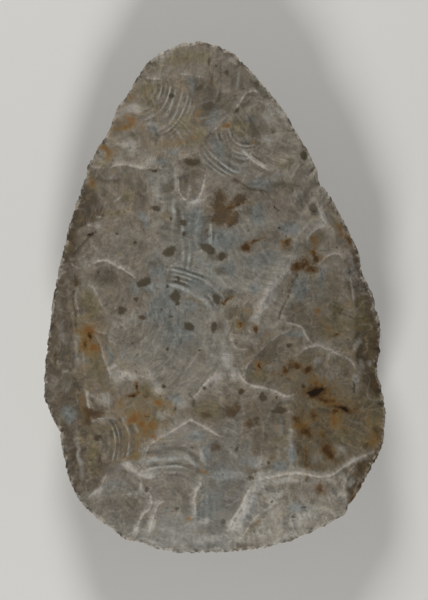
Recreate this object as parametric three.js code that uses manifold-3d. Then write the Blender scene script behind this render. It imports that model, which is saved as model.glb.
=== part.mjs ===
// A flint hand axe: one stone, flaked on both faces to an egg-shaped blade with a thin edge all round.
// It lies on its belly, in millimetres, +Z up and +Y towards the tip, over the middle of its outline.
import * as THREE from 'three';
import { mergeVertices } from 'three/addons/utils/BufferGeometryUtils.js';
import Module from 'manifold-3d';

const wasm = await Module();
wasm.setup();

// Driving sizes, in millimetres
const AXE_LENGTH = 150;
const AXE_WIDTH = 100;
const EDGE_HEIGHT = 17;      // the cutting edge above the plane that the axe lies on
const EDGE_THICKNESS = 1.0;  // the edge is blunted by use and weather
const EDGE_WINDING = 1.3;    // how far the edge winds up and down between the two faces
const WINDING_WAVES = [      // its share, its waves round the stone and where they start
  { share: 0.6, waves: 2, start: 0.7 },
  { share: 0.4, waves: 5, start: 1.9 },
];
const FACE_RISE = 19;        // the upper face above the edge, before its scars
const REST_CUT = 1.8;        // what the flat spot takes off the crown of the belly

// Places on the plane of the axe, u across and v along, are in hundredths of its length.

// Scar depths are in hundredths of the stone's thickness, made this much bolder all over.
const SCAR_BOLDNESS = 1.25;
const DEPTH_UNIT = SCAR_BOLDNESS * (EDGE_HEIGHT + FACE_RISE) / 100;

// The thickest point, a little towards the butt, from which both faces fall to the edge
const CROWN = new THREE.Vector2(0, -8);
const CROWN_FLATNESS = 0.15;

// The outline, clockwise from the tip
const OUTLINE = [
  [-3, 50.1], [2.4, 48.4], [5.2, 46.2], [8, 43.3], [12.2, 38.1], [14.4, 35],
  [19.3, 26.5], [20.6, 22.2], [22.5, 20], [27.8, 9.8], [28.8, 5.2], [30.9, 0.4],
  [31.3, -1.8], [32.2, -4.2], [32.2, -10.8], [31.7, -14], [33.2, -20.4], [33.1, -27.2],
  [32.3, -30.2], [29.2, -36], [26.3, -40.6], [25.2, -42.4], [19.6, -45.5], [12.8, -48.1],
  [4.5, -49.6], [-5, -49.9], [-10.8, -49.2], [-15, -47.7], [-17.6, -47.2], [-19.3, -45.8],
  [-25, -41.3], [-28.5, -35.2], [-30.1, -27.8], [-30.4, -25.8], [-32.4, -21.8], [-33.3, -18.2],
  [-32.7, -9], [-31, 3], [-28.3, 14.6], [-25.2, 23.8], [-24.5, 26.4], [-20.7, 32.8],
  [-18.9, 37.4], [-17.3, 39.2], [-14.1, 44.8], [-11.9, 47], [-7.8, 49.2],
];

// Flake scars of the upper face: u, v of the middle, half length, half width, heading in degrees, depth
const FACE_SCARS = {
  tip_cap: [-7.5, 47.5, 9.0, 5.5, 5, 2.4],
  tip_left: [-11.5, 37.8, 9.5, 6.0, -25, 2.6],
  tip_right: [3.6, 44.6, 7.6, 4.8, -50, 2.2],
  tip_middle: [-2.5, 37.5, 6.0, 4.0, -85, 1.6],

  left_shoulder: [-16.0, 29.3, 8.0, 4.6, -5, 2.2],
  left_upper: [-18.0, 20.0, 10.0, 5.8, -5, 2.6],
  left_upper_edge: [-26.0, 18.0, 4.5, 4.5, 0, 2.2],
  left_lens: [-17.8, 14.2, 4.5, 3.6, 10, 1.9],
  left_shelf: [-18.3, 8.8, 10.0, 5.4, -14, 2.3],
  left_shelf_edge: [-28.0, 11.0, 3.6, 3.8, 30, 1.9],
  left_bowl: [-20.8, 1.6, 7.6, 5.8, -20, 2.6],
  left_slip: [-24.0, -1.8, 6.0, 3.4, -62, 2.5],
  left_groove: [-23.0, -12.0, 8.5, 3.4, -78, 2.8],
  left_strip: [-30.0, -1.0, 9.0, 3.0, 82, 2.3],
  left_pane: [-28.6, -11.2, 4.0, 3.6, 0, 2.0],
  left_flank: [-29.0, -19.5, 7.0, 5.2, -80, 2.6],

  great: [-8.5, -8.2, 11.5, 10.8, -20, 3.0],
  pale: [-16.5, -16.0, 5.0, 4.2, -60, 2.2],
  fan: [-19.5, -27.0, 7.0, 4.6, 5, 2.5],
  rusty: [-12.5, -22.3, 5.0, 4.3, -60, 2.0],
  corner_outer: [-29.0, -31.0, 6.0, 2.6, -78, 2.2],
  corner_inner: [-24.8, -33.0, 6.0, 2.8, -75, 2.2],

  butt_left: [-18.8, -39.8, 9.0, 6.2, 48, 2.8],
  butt_middle: [-8.0, -33.3, 10.2, 6.3, 80, 2.9],
  butt_lip: [-8.3, -45.5, 5.5, 5.0, 90, 2.4],
  butt_blue: [1.2, -40.5, 8.5, 5.2, 78, 2.7],
  butt_upper: [1.8, -28.8, 6.0, 5.2, 60, 2.0],
  butt_wedge: [7.8, -40.6, 8.0, 3.4, 60, 2.5],
  butt_right: [15.2, -44.3, 11.0, 4.8, 22, 2.8],
  butt_shelf: [19.0, -37.4, 8.0, 3.6, 0, 2.3],
  butt_corner: [29.0, -36.2, 6.0, 3.2, 65, 2.6],

  streaks: [9.8, -26.0, 8.5, 6.5, 95, 2.4],
  right_low: [24.0, -26.5, 10.5, 7.4, 175, 2.7],
  cell_green: [11.8, -13.0, 6.8, 6.0, 90, 2.6],
  cell_brown: [21.4, -15.6, 7.4, 6.8, 195, 2.7],
  right_big: [19.6, -1.6, 10.5, 7.0, 100, 2.9],
  right_wedge: [13.4, 0.0, 8.6, 2.8, 58, 2.4],
  right_stain: [20.6, 9.4, 6.2, 4.2, -125, 2.5],
  rim_high: [24.8, 13.0, 7.5, 2.4, -62, 2.0],
  rim_middle: [29.0, 1.0, 7.5, 2.6, -72, 2.2],
  rim_low: [30.0, -6.5, 4.5, 3.2, -90, 2.1],
  rim_foot: [29.8, -13.5, 5.5, 2.6, -90, 2.1],
  right_upper: [13.5, 18.5, 10.0, 6.2, 200, 2.4],
  right_shoulder: [10.2, 32.2, 10.2, 7.0, 232, 2.8],

  ripples: [2.0, 27.2, 7.8, 5.6, 220, 2.5],
  tongue: [-4.2, 21.6, 4.8, 3.0, -90, 2.3],
  band: [-7.0, 30.5, 5.0, 3.4, 180, 1.8],
  middle_left: [-10.0, 21.5, 5.0, 3.4, -90, 1.8],
  spine: [-6.5, 12.0, 8.5, 5.4, -90, 2.2],
  knot: [-3.2, 3.0, 7.0, 3.8, -20, 2.1],
  hackle: [7.0, 9.6, 9.8, 7.2, -125, 2.4],
  brown_hollow: [1.2, 17.0, 5.0, 3.2, 80, 1.9],
  eye: [4.5, -4.0, 5.2, 4.8, 0, 2.0],
  neck: [2.8, -13.5, 6.0, 3.4, 90, 1.9],
  neck_low: [-1.2, -21.0, 4.6, 4.4, 90, 1.8],
};

// The belly's scars are plainer: one ring struck inwards from the edge, and one nearer the crown.
const BELLY_RINGS = [
  { count: 14, turn: 9, place: 0.79, run: 15, spread: 10, depth: 3.4 },
  { count: 6, turn: 40, place: 0.42, run: 12, spread: 9, depth: 2.6 },
];
const BELLY_UNEVENNESS = 0.16;
const BELLY_PLACE_SHARE = 0.3;

// Trimming chips along both faces of the edge
const CHIP_COUNT = 24;
const CHIP_RUN = 2.9;
const CHIP_SPREAD = 2.6;
const CHIP_DEPTH = 3.6;
const CHIP_PLACE = 0.965;
const CHIP_STAGGER = 0.4;
const CHIP_UNEVENNESS = 0.35;

// Nibbles in the outline between the chips, wider and narrower by turns
const NIBBLE_COUNT = 41;
const NIBBLE_WANDER = 0.8;
const NIBBLE_WANDER_WAVES = 7;
const NIBBLE_DEPTH = 0.28;

// Near the edge the scars fade to this share of their depth, so that the edge stays whole.
const EDGE_SHARE = 0.35;
const FADE_START = 0.84;

// The rough block is thicker than the finished stone, so that the scars meet each other in sharp ridges.
const ROUGH_EXTRA = 3.5;

// Fineness of the faceting, with rings as shares of a scar's half size
const RIM_STEPS = 112;
const CURVE_STEPS = 20;
const ROUGH_RINGS = [0.45, 0.8];
const SCAR_SIDES = 12;
const SCAR_RINGS = [0.65, 1.45];
const LONG_SCAR = 8.5;
const LONG_SCAR_RINGS = [0.5, 0.9, 1.45];
const CHIP_SIDES = 7;
const CHIP_RINGS = [1.1];
const TOOL_CLEARANCE = 8;

const TURN = 2 * Math.PI;

// A steady irregular number from -1 to 1 for the k-th of a row of like things
function uneven(k, row) {
  const angle = 12.9 * k + 7.3 * row + 2.1 * Math.sin(3.7 * k + row);
  return Math.sin(angle);
}

// The outline as a smooth closed curve, with a shallow nibble between its small points
function rimPoints() {
  const corners = OUTLINE.map(([u, v]) => new THREE.Vector3(u, v, 0));
  const curve = new THREE.CatmullRomCurve3(corners, true, 'catmullrom', 0.5);
  curve.arcLengthDivisions = CURVE_STEPS * corners.length;
  return curve.getSpacedPoints(RIM_STEPS).slice(0, RIM_STEPS).map((point, k) => {
    const along = k / RIM_STEPS;
    const wander = NIBBLE_WANDER * Math.sin(NIBBLE_WANDER_WAVES * TURN * along);
    const phase = NIBBLE_COUNT * along + wander;
    const nibble = NIBBLE_DEPTH * Math.abs(Math.sin(Math.PI * phase));
    const inwards = new THREE.Vector2(CROWN.x - point.x, CROWN.y - point.y).setLength(nibble);
    return new THREE.Vector2(point.x, point.y).add(inwards);
  });
}

const RIM = rimPoints();
const RIM_BOX = new THREE.Box2().setFromPoints(RIM);
const RIM_MIDDLE = RIM_BOX.getCenter(new THREE.Vector2());
const RIM_SIZE = RIM_BOX.getSize(new THREE.Vector2());
const RIM_POLAR = RIM
  .map((point) => point.clone().sub(CROWN))
  .map((spoke) => ({ angle: Math.atan2(spoke.y, spoke.x), reach: spoke.length() }))
  .sort((a, b) => a.angle - b.angle);

// Distance from the crown to the outline in one direction
function reach(angle) {
  const wanted = THREE.MathUtils.euclideanModulo(angle + Math.PI, TURN) - Math.PI;
  const next = Math.max(0, RIM_POLAR.findIndex((spoke) => spoke.angle > wanted));
  const after = RIM_POLAR[next];
  const before = RIM_POLAR.at(next - 1);
  const step = (after.angle - before.angle + TURN) % TURN;
  const part = (wanted - before.angle + TURN) % TURN;
  return THREE.MathUtils.lerp(before.reach, after.reach, part / step);
}

// Share of the way from the crown to the edge, 0 to 1, and the direction
function polar(u, v) {
  const angle = Math.atan2(v - CROWN.y, u - CROWN.x);
  return { angle, share: Math.hypot(u - CROWN.x, v - CROWN.y) / reach(angle) };
}

// Height of one face of the stone before its scars: side 1 is the upper face and -1 the belly
function faceHeight(u, v, side) {
  const { angle, share } = polar(u, v);
  const winding = WINDING_WAVES
    .map((wave) => wave.share * Math.sin(wave.waves * angle + wave.start))
    .reduce((sum, part) => sum + part, 0);
  const edge = EDGE_HEIGHT + EDGE_WINDING * winding * share ** 2;
  const dome = 1 - (1 + CROWN_FLATNESS) * share ** 2 + CROWN_FLATNESS * share ** 4;
  const rise = side > 0 ? FACE_RISE : EDGE_HEIGHT + REST_CUT;
  return edge + side * (EDGE_THICKNESS / 2 + (rise - EDGE_THICKNESS / 2) * dome);
}

// The point in one direction at a share of the way from the crown to the edge
function outFromCrown(angle, share) {
  const distance = share * reach(angle);
  return new THREE.Vector2(Math.cos(angle), Math.sin(angle)).multiplyScalar(distance).add(CROWN);
}

// How much of its depth a scar keeps at a point
function depthShare(u, v) {
  const fade = THREE.MathUtils.smoothstep(polar(u, v).share, FADE_START, 1);
  return THREE.MathUtils.lerp(1, EDGE_SHARE, fade);
}

// A point of the plane at a height, in millimetres
function place(u, v, height) {
  const x = (u - RIM_MIDDLE.x) * AXE_WIDTH / RIM_SIZE.x;
  const y = (v - RIM_MIDDLE.y) * AXE_LENGTH / RIM_SIZE.y;
  return new THREE.Vector3(x, y, height);
}

// Moves each point of a turned shape to where placePoint says, and gives the closed solid back
function solidFrom(geometry, placePoint) {
  const bare = geometry.clone();
  bare.deleteAttribute('normal');
  bare.deleteAttribute('uv');
  const merged = mergeVertices(bare);
  const position = merged.getAttribute('position');
  for (let i = 0; i < position.count; i += 1) {
    const placed = placePoint(position.getX(i), position.getY(i), position.getZ(i));
    position.setXYZ(i, placed.x, placed.y, placed.z);
  }
  const triangles = [];
  for (let i = 0; i < merged.index.count; i += 3) {
    const [a, b, c] = [0, 1, 2].map((corner) => merged.index.getX(i + corner));
    if (a !== b && b !== c && c !== a) triangles.push(a, b, c);
  }
  const mesh = new wasm.Mesh({
    numProp: 3,
    vertProperties: new Float32Array(position.array),
    triVerts: new Uint32Array(triangles),
  });
  return new wasm.Manifold(mesh);
}

// A profile that starts and ends on the axis: out along one level and back along the other
function twoLevelProfile(outward, back) {
  const lower = [0, ...outward].map((share) => new THREE.Vector2(share, -1));
  const upper = [...back, 0].map((share) => new THREE.Vector2(share, 1));
  return [...lower, ...upper];
}

// The rough block, which has the finished outline already
function roughBlock() {
  const shares = [...ROUGH_RINGS, 1];
  const profile = twoLevelProfile(shares, [...shares].reverse());
  const shape = new THREE.LatheGeometry(profile, RIM_STEPS);
  return solidFrom(shape, (x, level, z) => {
    const share = Math.hypot(x, z);
    const point = outFromCrown(Math.atan2(x, z), share);
    const extra = ROUGH_EXTRA * (1 - share ** 4);
    return place(point.x, point.y, faceHeight(point.x, point.y, level) + level * extra);
  });
}

// What one blow takes off: everything above a shallow bowl in the face
function flake([u, v, run, spread, heading, depth], side, sides, rings) {
  const profile = side > 0
    ? twoLevelProfile(rings, [rings.at(-1)])
    : twoLevelProfile([rings.at(-1)], [...rings].reverse());
  const turned = THREE.MathUtils.degToRad(heading);
  const outside = EDGE_HEIGHT + side * (FACE_RISE + TOOL_CLEARANCE);
  return solidFrom(new THREE.LatheGeometry(profile, sides), (x, level, z) => {
    const along = z * run;
    const across = x * spread;
    const pu = u + along * Math.cos(turned) - across * Math.sin(turned);
    const pv = v + along * Math.sin(turned) + across * Math.cos(turned);
    if (level === side) return place(pu, pv, outside);
    const bowl = depth * DEPTH_UNIT * (1 - x * x - z * z);
    return place(pu, pv, faceHeight(pu, pv, side) - side * bowl * depthShare(pu, pv));
  });
}

// A scar struck towards the crown, at a share of the way out to the edge
function inwardScar(angle, share, run, spread, depth) {
  const middle = outFromCrown(angle, share);
  return [middle.x, middle.y, run, spread, THREE.MathUtils.radToDeg(angle) + 180, depth];
}

// The belly's scars, evenly round with some unevenness
function bellyScars() {
  return BELLY_RINGS.flatMap(({ count, turn, place: share, run, spread, depth }, row) => {
    return Array.from({ length: count }, (_, k) => {
      const wander = (n) => BELLY_UNEVENNESS * uneven(k, 5 * row + n);
      const angle = THREE.MathUtils.degToRad(turn + (360 / count) * (k + wander(1)));
      return inwardScar(
        angle, share * (1 + BELLY_PLACE_SHARE * wander(3)),
        run * (1 + wander(2)), spread * (1 + wander(4)), depth * (1 + wander(5)),
      );
    });
  });
}

// Small chips at even steps along the rim
function edgeChips(side) {
  return Array.from({ length: CHIP_COUNT }, (_, k) => {
    const wander = (n) => CHIP_UNEVENNESS * uneven(k, 20 + 5 * side + n);
    const step = Math.round((RIM_STEPS / CHIP_COUNT) * (k + CHIP_STAGGER * side + wander(1)));
    const spoke = RIM.at(step % RIM_STEPS).clone().sub(CROWN);
    return inwardScar(
      spoke.angle(), CHIP_PLACE,
      CHIP_RUN * (1 + wander(2)), CHIP_SPREAD * (1 + wander(3)), CHIP_DEPTH,
    );
  });
}

// Everything under the plane that the axe lies on, which leaves the flat resting spot
function underground() {
  const depth = REST_CUT + TOOL_CLEARANCE;
  const box = new THREE.BoxGeometry(2 * AXE_WIDTH, 2 * AXE_LENGTH, depth);
  return solidFrom(box, (x, y, z) => new THREE.Vector3(x, y, z - depth / 2));
}

// The axe, blow by blow
function knap() {
  let stone = roughBlock();
  const scarsOfSide = { '1': Object.values(FACE_SCARS), '-1': bellyScars() };
  for (const side of [1, -1]) {
    for (const scar of scarsOfSide[side]) {
      const run = scar[2];
      const rings = run > LONG_SCAR ? LONG_SCAR_RINGS : SCAR_RINGS;
      stone = stone.subtract(flake(scar, side, SCAR_SIDES, rings));
    }
    for (const chip of edgeChips(side)) {
      stone = stone.subtract(flake(chip, side, CHIP_SIDES, CHIP_RINGS));
    }
  }
  return stone.subtract(underground());
}

// A solid's triangles as a geometry with flat faces
function geometryOf(solid) {
  const { vertProperties, triVerts } = solid.getMesh();
  const geometry = new THREE.BufferGeometry();
  geometry.setAttribute('position', new THREE.BufferAttribute(new Float32Array(vertProperties), 3));
  geometry.setIndex(new THREE.BufferAttribute(new Uint32Array(triVerts), 1));
  geometry.computeVertexNormals();
  return geometry;
}

const flint = new THREE.MeshStandardMaterial({ color: 0x6b6559, roughness: 0.72, metalness: 0 });
flint.name = 'flint';

const axe = new THREE.Mesh(geometryOf(knap()), flint);
axe.name = 'hand_axe';

const group = new THREE.Group();
group.add(axe);

export default group;
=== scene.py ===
# A flint hand axe, lying on its belly and seen from straight above.
import math

import bpy
import numpy as np
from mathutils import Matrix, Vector, geometry, kdtree, noise


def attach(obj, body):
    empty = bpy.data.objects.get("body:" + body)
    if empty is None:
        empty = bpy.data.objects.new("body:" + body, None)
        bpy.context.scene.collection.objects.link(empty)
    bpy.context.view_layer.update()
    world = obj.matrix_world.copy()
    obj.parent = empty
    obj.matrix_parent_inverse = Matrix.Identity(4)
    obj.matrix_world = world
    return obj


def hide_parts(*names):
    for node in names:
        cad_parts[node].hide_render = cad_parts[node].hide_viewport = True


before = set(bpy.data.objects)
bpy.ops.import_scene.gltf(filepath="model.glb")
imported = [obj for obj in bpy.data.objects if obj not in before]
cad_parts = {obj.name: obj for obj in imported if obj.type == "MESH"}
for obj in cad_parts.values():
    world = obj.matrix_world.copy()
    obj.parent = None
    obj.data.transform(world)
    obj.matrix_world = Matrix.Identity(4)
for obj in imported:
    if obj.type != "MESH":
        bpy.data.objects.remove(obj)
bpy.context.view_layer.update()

# The rough block
# One nodule of flint, thinned to an egg-shaped blade that is thickest a little towards the butt.
# Places on its plane, u across and v along towards the tip, are in hundredths of its length.
MM = 0.001
AXE_LENGTH = 150.0
AXE_WIDTH = 100.0
UNIT = AXE_LENGTH / 100
EDGE_HEIGHT = 17.0
EDGE_THICKNESS = 1.0
EDGE_WINDING = 1.3
FACE_RISE = 19.0
REST_CUT = 1.8
CROWN = np.array([0.0, -8.0])
CROWN_FLATNESS = 0.15
# The edge winds up and down in two waves: the share of each, how often it goes round and where it starts
WINDINGS = [(0.6, 2, 0.7), (0.4, 5, 1.9)]

# The outline, clockwise from the tip
OUTLINE = [
    (-3, 50.1), (2.4, 48.4), (5.2, 46.2), (8, 43.3), (12.2, 38.1), (14.4, 35), (19.3, 26.5), (20.6, 22.2),
    (22.5, 20), (27.8, 9.8), (28.8, 5.2), (30.9, 0.4), (31.3, -1.8), (32.2, -4.2), (32.2, -10.8),
    (31.7, -14), (33.2, -20.4), (33.1, -27.2), (32.3, -30.2), (29.2, -36), (26.3, -40.6), (25.2, -42.4),
    (19.6, -45.5), (12.8, -48.1), (4.5, -49.6), (-5, -49.9), (-10.8, -49.2), (-15, -47.7), (-17.6, -47.2),
    (-19.3, -45.8), (-25, -41.3), (-28.5, -35.2), (-30.1, -27.8), (-30.4, -25.8), (-32.4, -21.8),
    (-33.3, -18.2), (-32.7, -9), (-31, 3), (-28.3, 14.6), (-25.2, 23.8), (-24.5, 26.4), (-20.7, 32.8),
    (-18.9, 37.4), (-17.3, 39.2), (-14.1, 44.8), (-11.9, 47), (-7.8, 49.2),
]
RIM_STEPS = 1100
CURVE_STEPS = 40
# The rim is nibbled at uneven steps, and trimmed by chips too small for bowls of their own
NIBBLE_COUNT = 41
NIBBLE_DRIFT = 0.8
NIBBLE_WAVES = 7
NIBBLE_DEPTH = 0.2
TRIM_SIZE = 0.9
TRIM_DEPTH = 0.5


def smooth_curve(controls, steps, count=None, spacing=None):
    """Even points on a smooth curve through all but the end controls, by their number or how far apart."""
    controls = np.array(controls, float)
    share = np.linspace(0, 1, steps, endpoint=False)[:, None]
    stretches = []
    for a, b, c, d in zip(controls, controls[1:], controls[2:], controls[3:]):
        stretches.append(0.5 * (2 * b + (c - a) * share + (2 * a - 5 * b + 4 * c - d) * share ** 2
                                + (3 * b - a - 3 * c + d) * share ** 3))
    fine = np.vstack(stretches + [controls[-2:-1]])
    travel = np.concatenate([[0], np.cumsum(np.hypot(*np.diff(fine, axis=0).T))])
    wanted = np.linspace(0, travel[-1], count or max(3, round(travel[-1] / spacing)))
    return np.column_stack([np.interp(wanted, travel, fine[:, axis]) for axis in (0, 1)])


rim = smooth_curve([OUTLINE[-1]] + OUTLINE + OUTLINE[:2], CURVE_STEPS, count=RIM_STEPS + 1)[:-1]
along_rim = np.arange(RIM_STEPS) / RIM_STEPS
nibble_phase = NIBBLE_COUNT * along_rim + NIBBLE_DRIFT * np.sin(2 * math.pi * NIBBLE_WAVES * along_rim)
nibbled = NIBBLE_DEPTH * np.abs(np.sin(math.pi * nibble_phase))
trimmed = TRIM_DEPTH * np.array([abs(noise.noise(Vector((x, y, 1)) / TRIM_SIZE)) for x, y in rim])
inwards = CROWN - rim
inwards /= np.linalg.norm(inwards, axis=1)[:, None]
rim = rim + inwards * (nibbled + trimmed)[:, None]
rim_middle = (rim.min(0) + rim.max(0)) / 2
rim_size = rim.max(0) - rim.min(0)
spokes = rim - CROWN
spoke_angles = np.arctan2(spokes[:, 1], spokes[:, 0])
order = np.argsort(spoke_angles)
spoke_angles = spoke_angles[order]
spoke_lengths = np.hypot(spokes[:, 0], spokes[:, 1])[order]


def edge_reach(angle):
    """How far the edge is from the crown in a direction."""
    return np.interp(angle, spoke_angles, spoke_lengths, period=2 * math.pi)


def polar(u, v):
    """The direction from the crown, and the share of the way from there to the edge."""
    angle = np.arctan2(v - CROWN[1], u - CROWN[0])
    return angle, np.hypot(u - CROWN[0], v - CROWN[1]) / edge_reach(angle)


def face_height(u, v, side):
    """Height in mm of one face before its scars: side 1 is the upper face and -1 the belly."""
    angle, share = polar(u, v)
    winding = sum(part * np.sin(waves * angle + start) for part, waves, start in WINDINGS)
    edge = EDGE_HEIGHT + EDGE_WINDING * winding * share ** 2
    dome = 1 - (1 + CROWN_FLATNESS) * share ** 2 + CROWN_FLATNESS * share ** 4
    rise = FACE_RISE if side > 0 else EDGE_HEIGHT + REST_CUT
    return edge + side * (EDGE_THICKNESS / 2 + (rise - EDGE_THICKNESS / 2) * dome)


# The flake scars
# Each blow took off one flake and left a shallow bowl; bowls meet in ridges, which wear has rounded.
# Each scar is its middle u and v, half length, half width, heading in degrees and depth.
SCAR_BOLDNESS = 1.25
DEPTH_UNIT = SCAR_BOLDNESS * (EDGE_HEIGHT + FACE_RISE) / 100
RIDGE_WEAR = 0.14
WARP = 0.5
WARP_SIZE = 7.0
# Without a seed, vector noise differs from one run to the next
NOISE_SEED = 1
noise.seed_set(NOISE_SEED)
FACE_SCARS = {
    "tip_cap": (-7.5, 47.5, 9.0, 5.5, 5, 2.4),
    "tip_left": (-11.5, 37.8, 9.5, 6.0, -25, 2.6),
    "tip_right": (3.6, 44.6, 7.6, 4.8, -50, 2.2),
    "tip_middle": (-2.5, 37.5, 6.0, 4.0, -85, 1.6),
    "left_shoulder": (-16.0, 29.3, 8.0, 4.6, -5, 2.2),
    "left_upper": (-18.0, 20.0, 10.0, 5.8, -5, 2.6),
    "left_upper_edge": (-26.0, 18.0, 4.5, 4.5, 0, 2.2),
    "left_lens": (-17.8, 14.2, 4.5, 3.6, 10, 1.9),
    "left_shelf": (-18.3, 8.8, 10.0, 5.4, -14, 2.3),
    "left_shelf_edge": (-28.0, 11.0, 3.6, 3.8, 30, 1.9),
    "left_bowl": (-20.8, 1.6, 7.6, 5.8, -20, 2.6),
    "left_slip": (-24.0, -1.8, 6.0, 3.4, -62, 2.5),
    "left_groove": (-23.0, -12.0, 8.5, 3.4, -78, 2.8),
    "left_strip": (-30.0, -1.0, 9.0, 3.0, 82, 2.3),
    "left_pane": (-28.6, -11.2, 4.0, 3.6, 0, 2.0),
    "left_flank": (-29.0, -19.5, 7.0, 5.2, -80, 2.6),
    "great": (-8.5, -8.2, 11.5, 10.8, -20, 3.0),
    "pale": (-16.5, -16.0, 5.0, 4.2, -60, 2.2),
    "fan": (-19.5, -27.0, 7.0, 4.6, 5, 2.5),
    "rusty": (-12.5, -22.3, 5.0, 4.3, -60, 2.0),
    "corner_outer": (-29.0, -31.0, 6.0, 2.6, -78, 2.2),
    "corner_inner": (-24.8, -33.0, 6.0, 2.8, -75, 2.2),
    "butt_left": (-18.8, -39.8, 9.0, 6.2, 48, 2.8),
    "butt_middle": (-8.0, -33.3, 10.2, 6.3, 80, 2.9),
    "butt_lip": (-8.3, -45.5, 5.5, 5.0, 90, 2.4),
    "butt_blue": (1.2, -40.5, 8.5, 5.2, 78, 2.7),
    "butt_upper": (1.8, -28.8, 6.0, 5.2, 60, 2.0),
    "butt_wedge": (7.8, -40.6, 8.0, 3.4, 60, 2.5),
    "butt_right": (15.2, -44.3, 11.0, 4.8, 22, 2.8),
    "butt_shelf": (19.0, -37.4, 8.0, 3.6, 0, 2.3),
    "butt_corner": (29.0, -36.2, 6.0, 3.2, 65, 2.6),
    "streaks": (9.8, -26.0, 8.5, 6.5, 95, 2.4),
    "right_low": (24.0, -26.5, 10.5, 7.4, 175, 2.7),
    "cell_green": (11.8, -13.0, 6.8, 6.0, 90, 2.6),
    "cell_brown": (21.4, -15.6, 7.4, 6.8, 195, 2.7),
    "right_big": (19.6, -1.6, 10.5, 7.0, 100, 2.9),
    "right_wedge": (13.4, 0.0, 8.6, 2.8, 58, 2.4),
    "right_stain": (20.6, 9.4, 6.2, 4.2, -125, 2.5),
    "rim_high": (24.8, 13.0, 7.5, 2.4, -62, 2.0),
    "rim_middle": (29.0, 1.0, 7.5, 2.6, -72, 2.2),
    "rim_low": (30.0, -6.5, 4.5, 3.2, -90, 2.1),
    "rim_foot": (29.8, -13.5, 5.5, 2.6, -90, 2.1),
    "right_upper": (13.5, 18.5, 10.0, 6.2, 200, 2.4),
    "right_shoulder": (10.2, 32.2, 10.2, 7.0, 232, 2.8),
    "ripples": (2.0, 27.2, 7.8, 5.6, 220, 2.5),
    "tongue": (-4.2, 21.6, 4.8, 3.0, -90, 2.3),
    "band": (-7.0, 30.5, 5.0, 3.4, 180, 1.8),
    "middle_left": (-10.0, 21.5, 5.0, 3.4, -90, 1.8),
    "spine": (-6.5, 12.0, 8.5, 5.4, -90, 2.2),
    "knot": (-3.2, 3.0, 7.0, 3.8, -20, 2.1),
    "hackle": (7.0, 9.6, 9.8, 7.2, -125, 2.4),
    "brown_hollow": (1.2, 17.0, 5.0, 3.2, 80, 1.9),
    "eye": (4.5, -4.0, 5.2, 4.8, 0, 2.0),
    "neck": (2.8, -13.5, 6.0, 3.4, 90, 1.9),
    "neck_low": (-1.2, -21.0, 4.6, 4.4, 90, 1.8),
}
# The belly's scars are plainer: one ring struck inwards from the edge, and one nearer the crown
BELLY_RINGS = [
    dict(count=14, turn=9, place=0.79, run=15, spread=10, depth=3.4),
    dict(count=6, turn=40, place=0.42, run=12, spread=9, depth=2.6),
]
BELLY_UNEVENNESS = 0.16
PLACE_UNEVENNESS = 0.3
CHIP_COUNT = 24
CHIP_RUN = 2.9
CHIP_SPREAD = 2.6
CHIP_DEPTH = 3.6
CHIP_PLACE = 0.965
CHIP_UNEVENNESS = 0.35
CHIP_STAGGER = 0.4
FINE_CHIP_COUNT = 120
FINE_CHIP_PLACE = (0.965, 0.99)
FINE_CHIP_RUN = (0.7, 1.9)
FINE_CHIP_SPREAD = (0.6, 1.5)
FINE_CHIP_DEPTH = (2.0, 4.6)


def uneven(k, row):
    """A steady irregular number from -1 to 1 for the k-th of a row of like things."""
    return math.sin(12.9 * k + 7.3 * row + 2.1 * math.sin(3.7 * k + row))


def inward_scar(angle, share, run, spread, depth):
    """A scar struck towards the crown, at a share of the way out to the edge."""
    middle = CROWN + share * edge_reach(angle) * np.array([math.cos(angle), math.sin(angle)])
    return (*middle, run, spread, math.degrees(angle) + 180, depth)


def belly_scars():
    scars = []
    for row, ring in enumerate(BELLY_RINGS):
        for k in range(ring["count"]):
            turn, push, run, spread, depth = (
                BELLY_UNEVENNESS * uneven(k, 5 * row + n) for n in (1, 3, 2, 4, 5))
            angle = math.radians(ring["turn"] + 360 / ring["count"] * (k + turn))
            scars.append(inward_scar(
                angle, ring["place"] * (1 + PLACE_UNEVENNESS * push), ring["run"] * (1 + run),
                ring["spread"] * (1 + spread), ring["depth"] * (1 + depth)))
    return scars


def rim_angle(step):
    """The direction from the crown of one step of the rim."""
    across, along = rim[step % RIM_STEPS] - CROWN
    return math.atan2(along, across)


def edge_chips(side):
    """Small chips at uneven steps along the rim, between those of the other face."""
    chips = []
    for k in range(CHIP_COUNT):
        shift, longer, wider = (CHIP_UNEVENNESS * uneven(k, 20 + 5 * side + n) for n in (1, 2, 3))
        step = round(RIM_STEPS / CHIP_COUNT * (k + CHIP_STAGGER * side + shift))
        chips.append(inward_scar(
            rim_angle(step), CHIP_PLACE, CHIP_RUN * (1 + longer), CHIP_SPREAD * (1 + wider), CHIP_DEPTH))
    return chips


def fine_chips(seed):
    """The smallest chips, at random places along the rim."""
    chance = np.random.default_rng(seed)
    chips = []
    for k in range(FINE_CHIP_COUNT):
        angle = rim_angle(chance.integers(RIM_STEPS))
        sizes = [chance.uniform(*size) for size in (
            FINE_CHIP_PLACE, FINE_CHIP_RUN, FINE_CHIP_SPREAD, FINE_CHIP_DEPTH)]
        chips.append(inward_scar(angle, *sizes))
    return chips


def soft_highest(a, b, reach):
    """The higher of two cuts, with the ridge between them rounded."""
    near = np.maximum(reach - np.abs(a - b), 0)
    return np.maximum(a, b) + near ** 2 / (4 * reach)


def warped(u, v):
    """The points moved a little, so that no scar is a true ellipse."""
    warps = np.array([noise.noise_vector(Vector((x, y, 3)) / WARP_SIZE) for x, y in zip(u, v)])
    return u + WARP * warps[:, 0], v + WARP * warps[:, 1]


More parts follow.
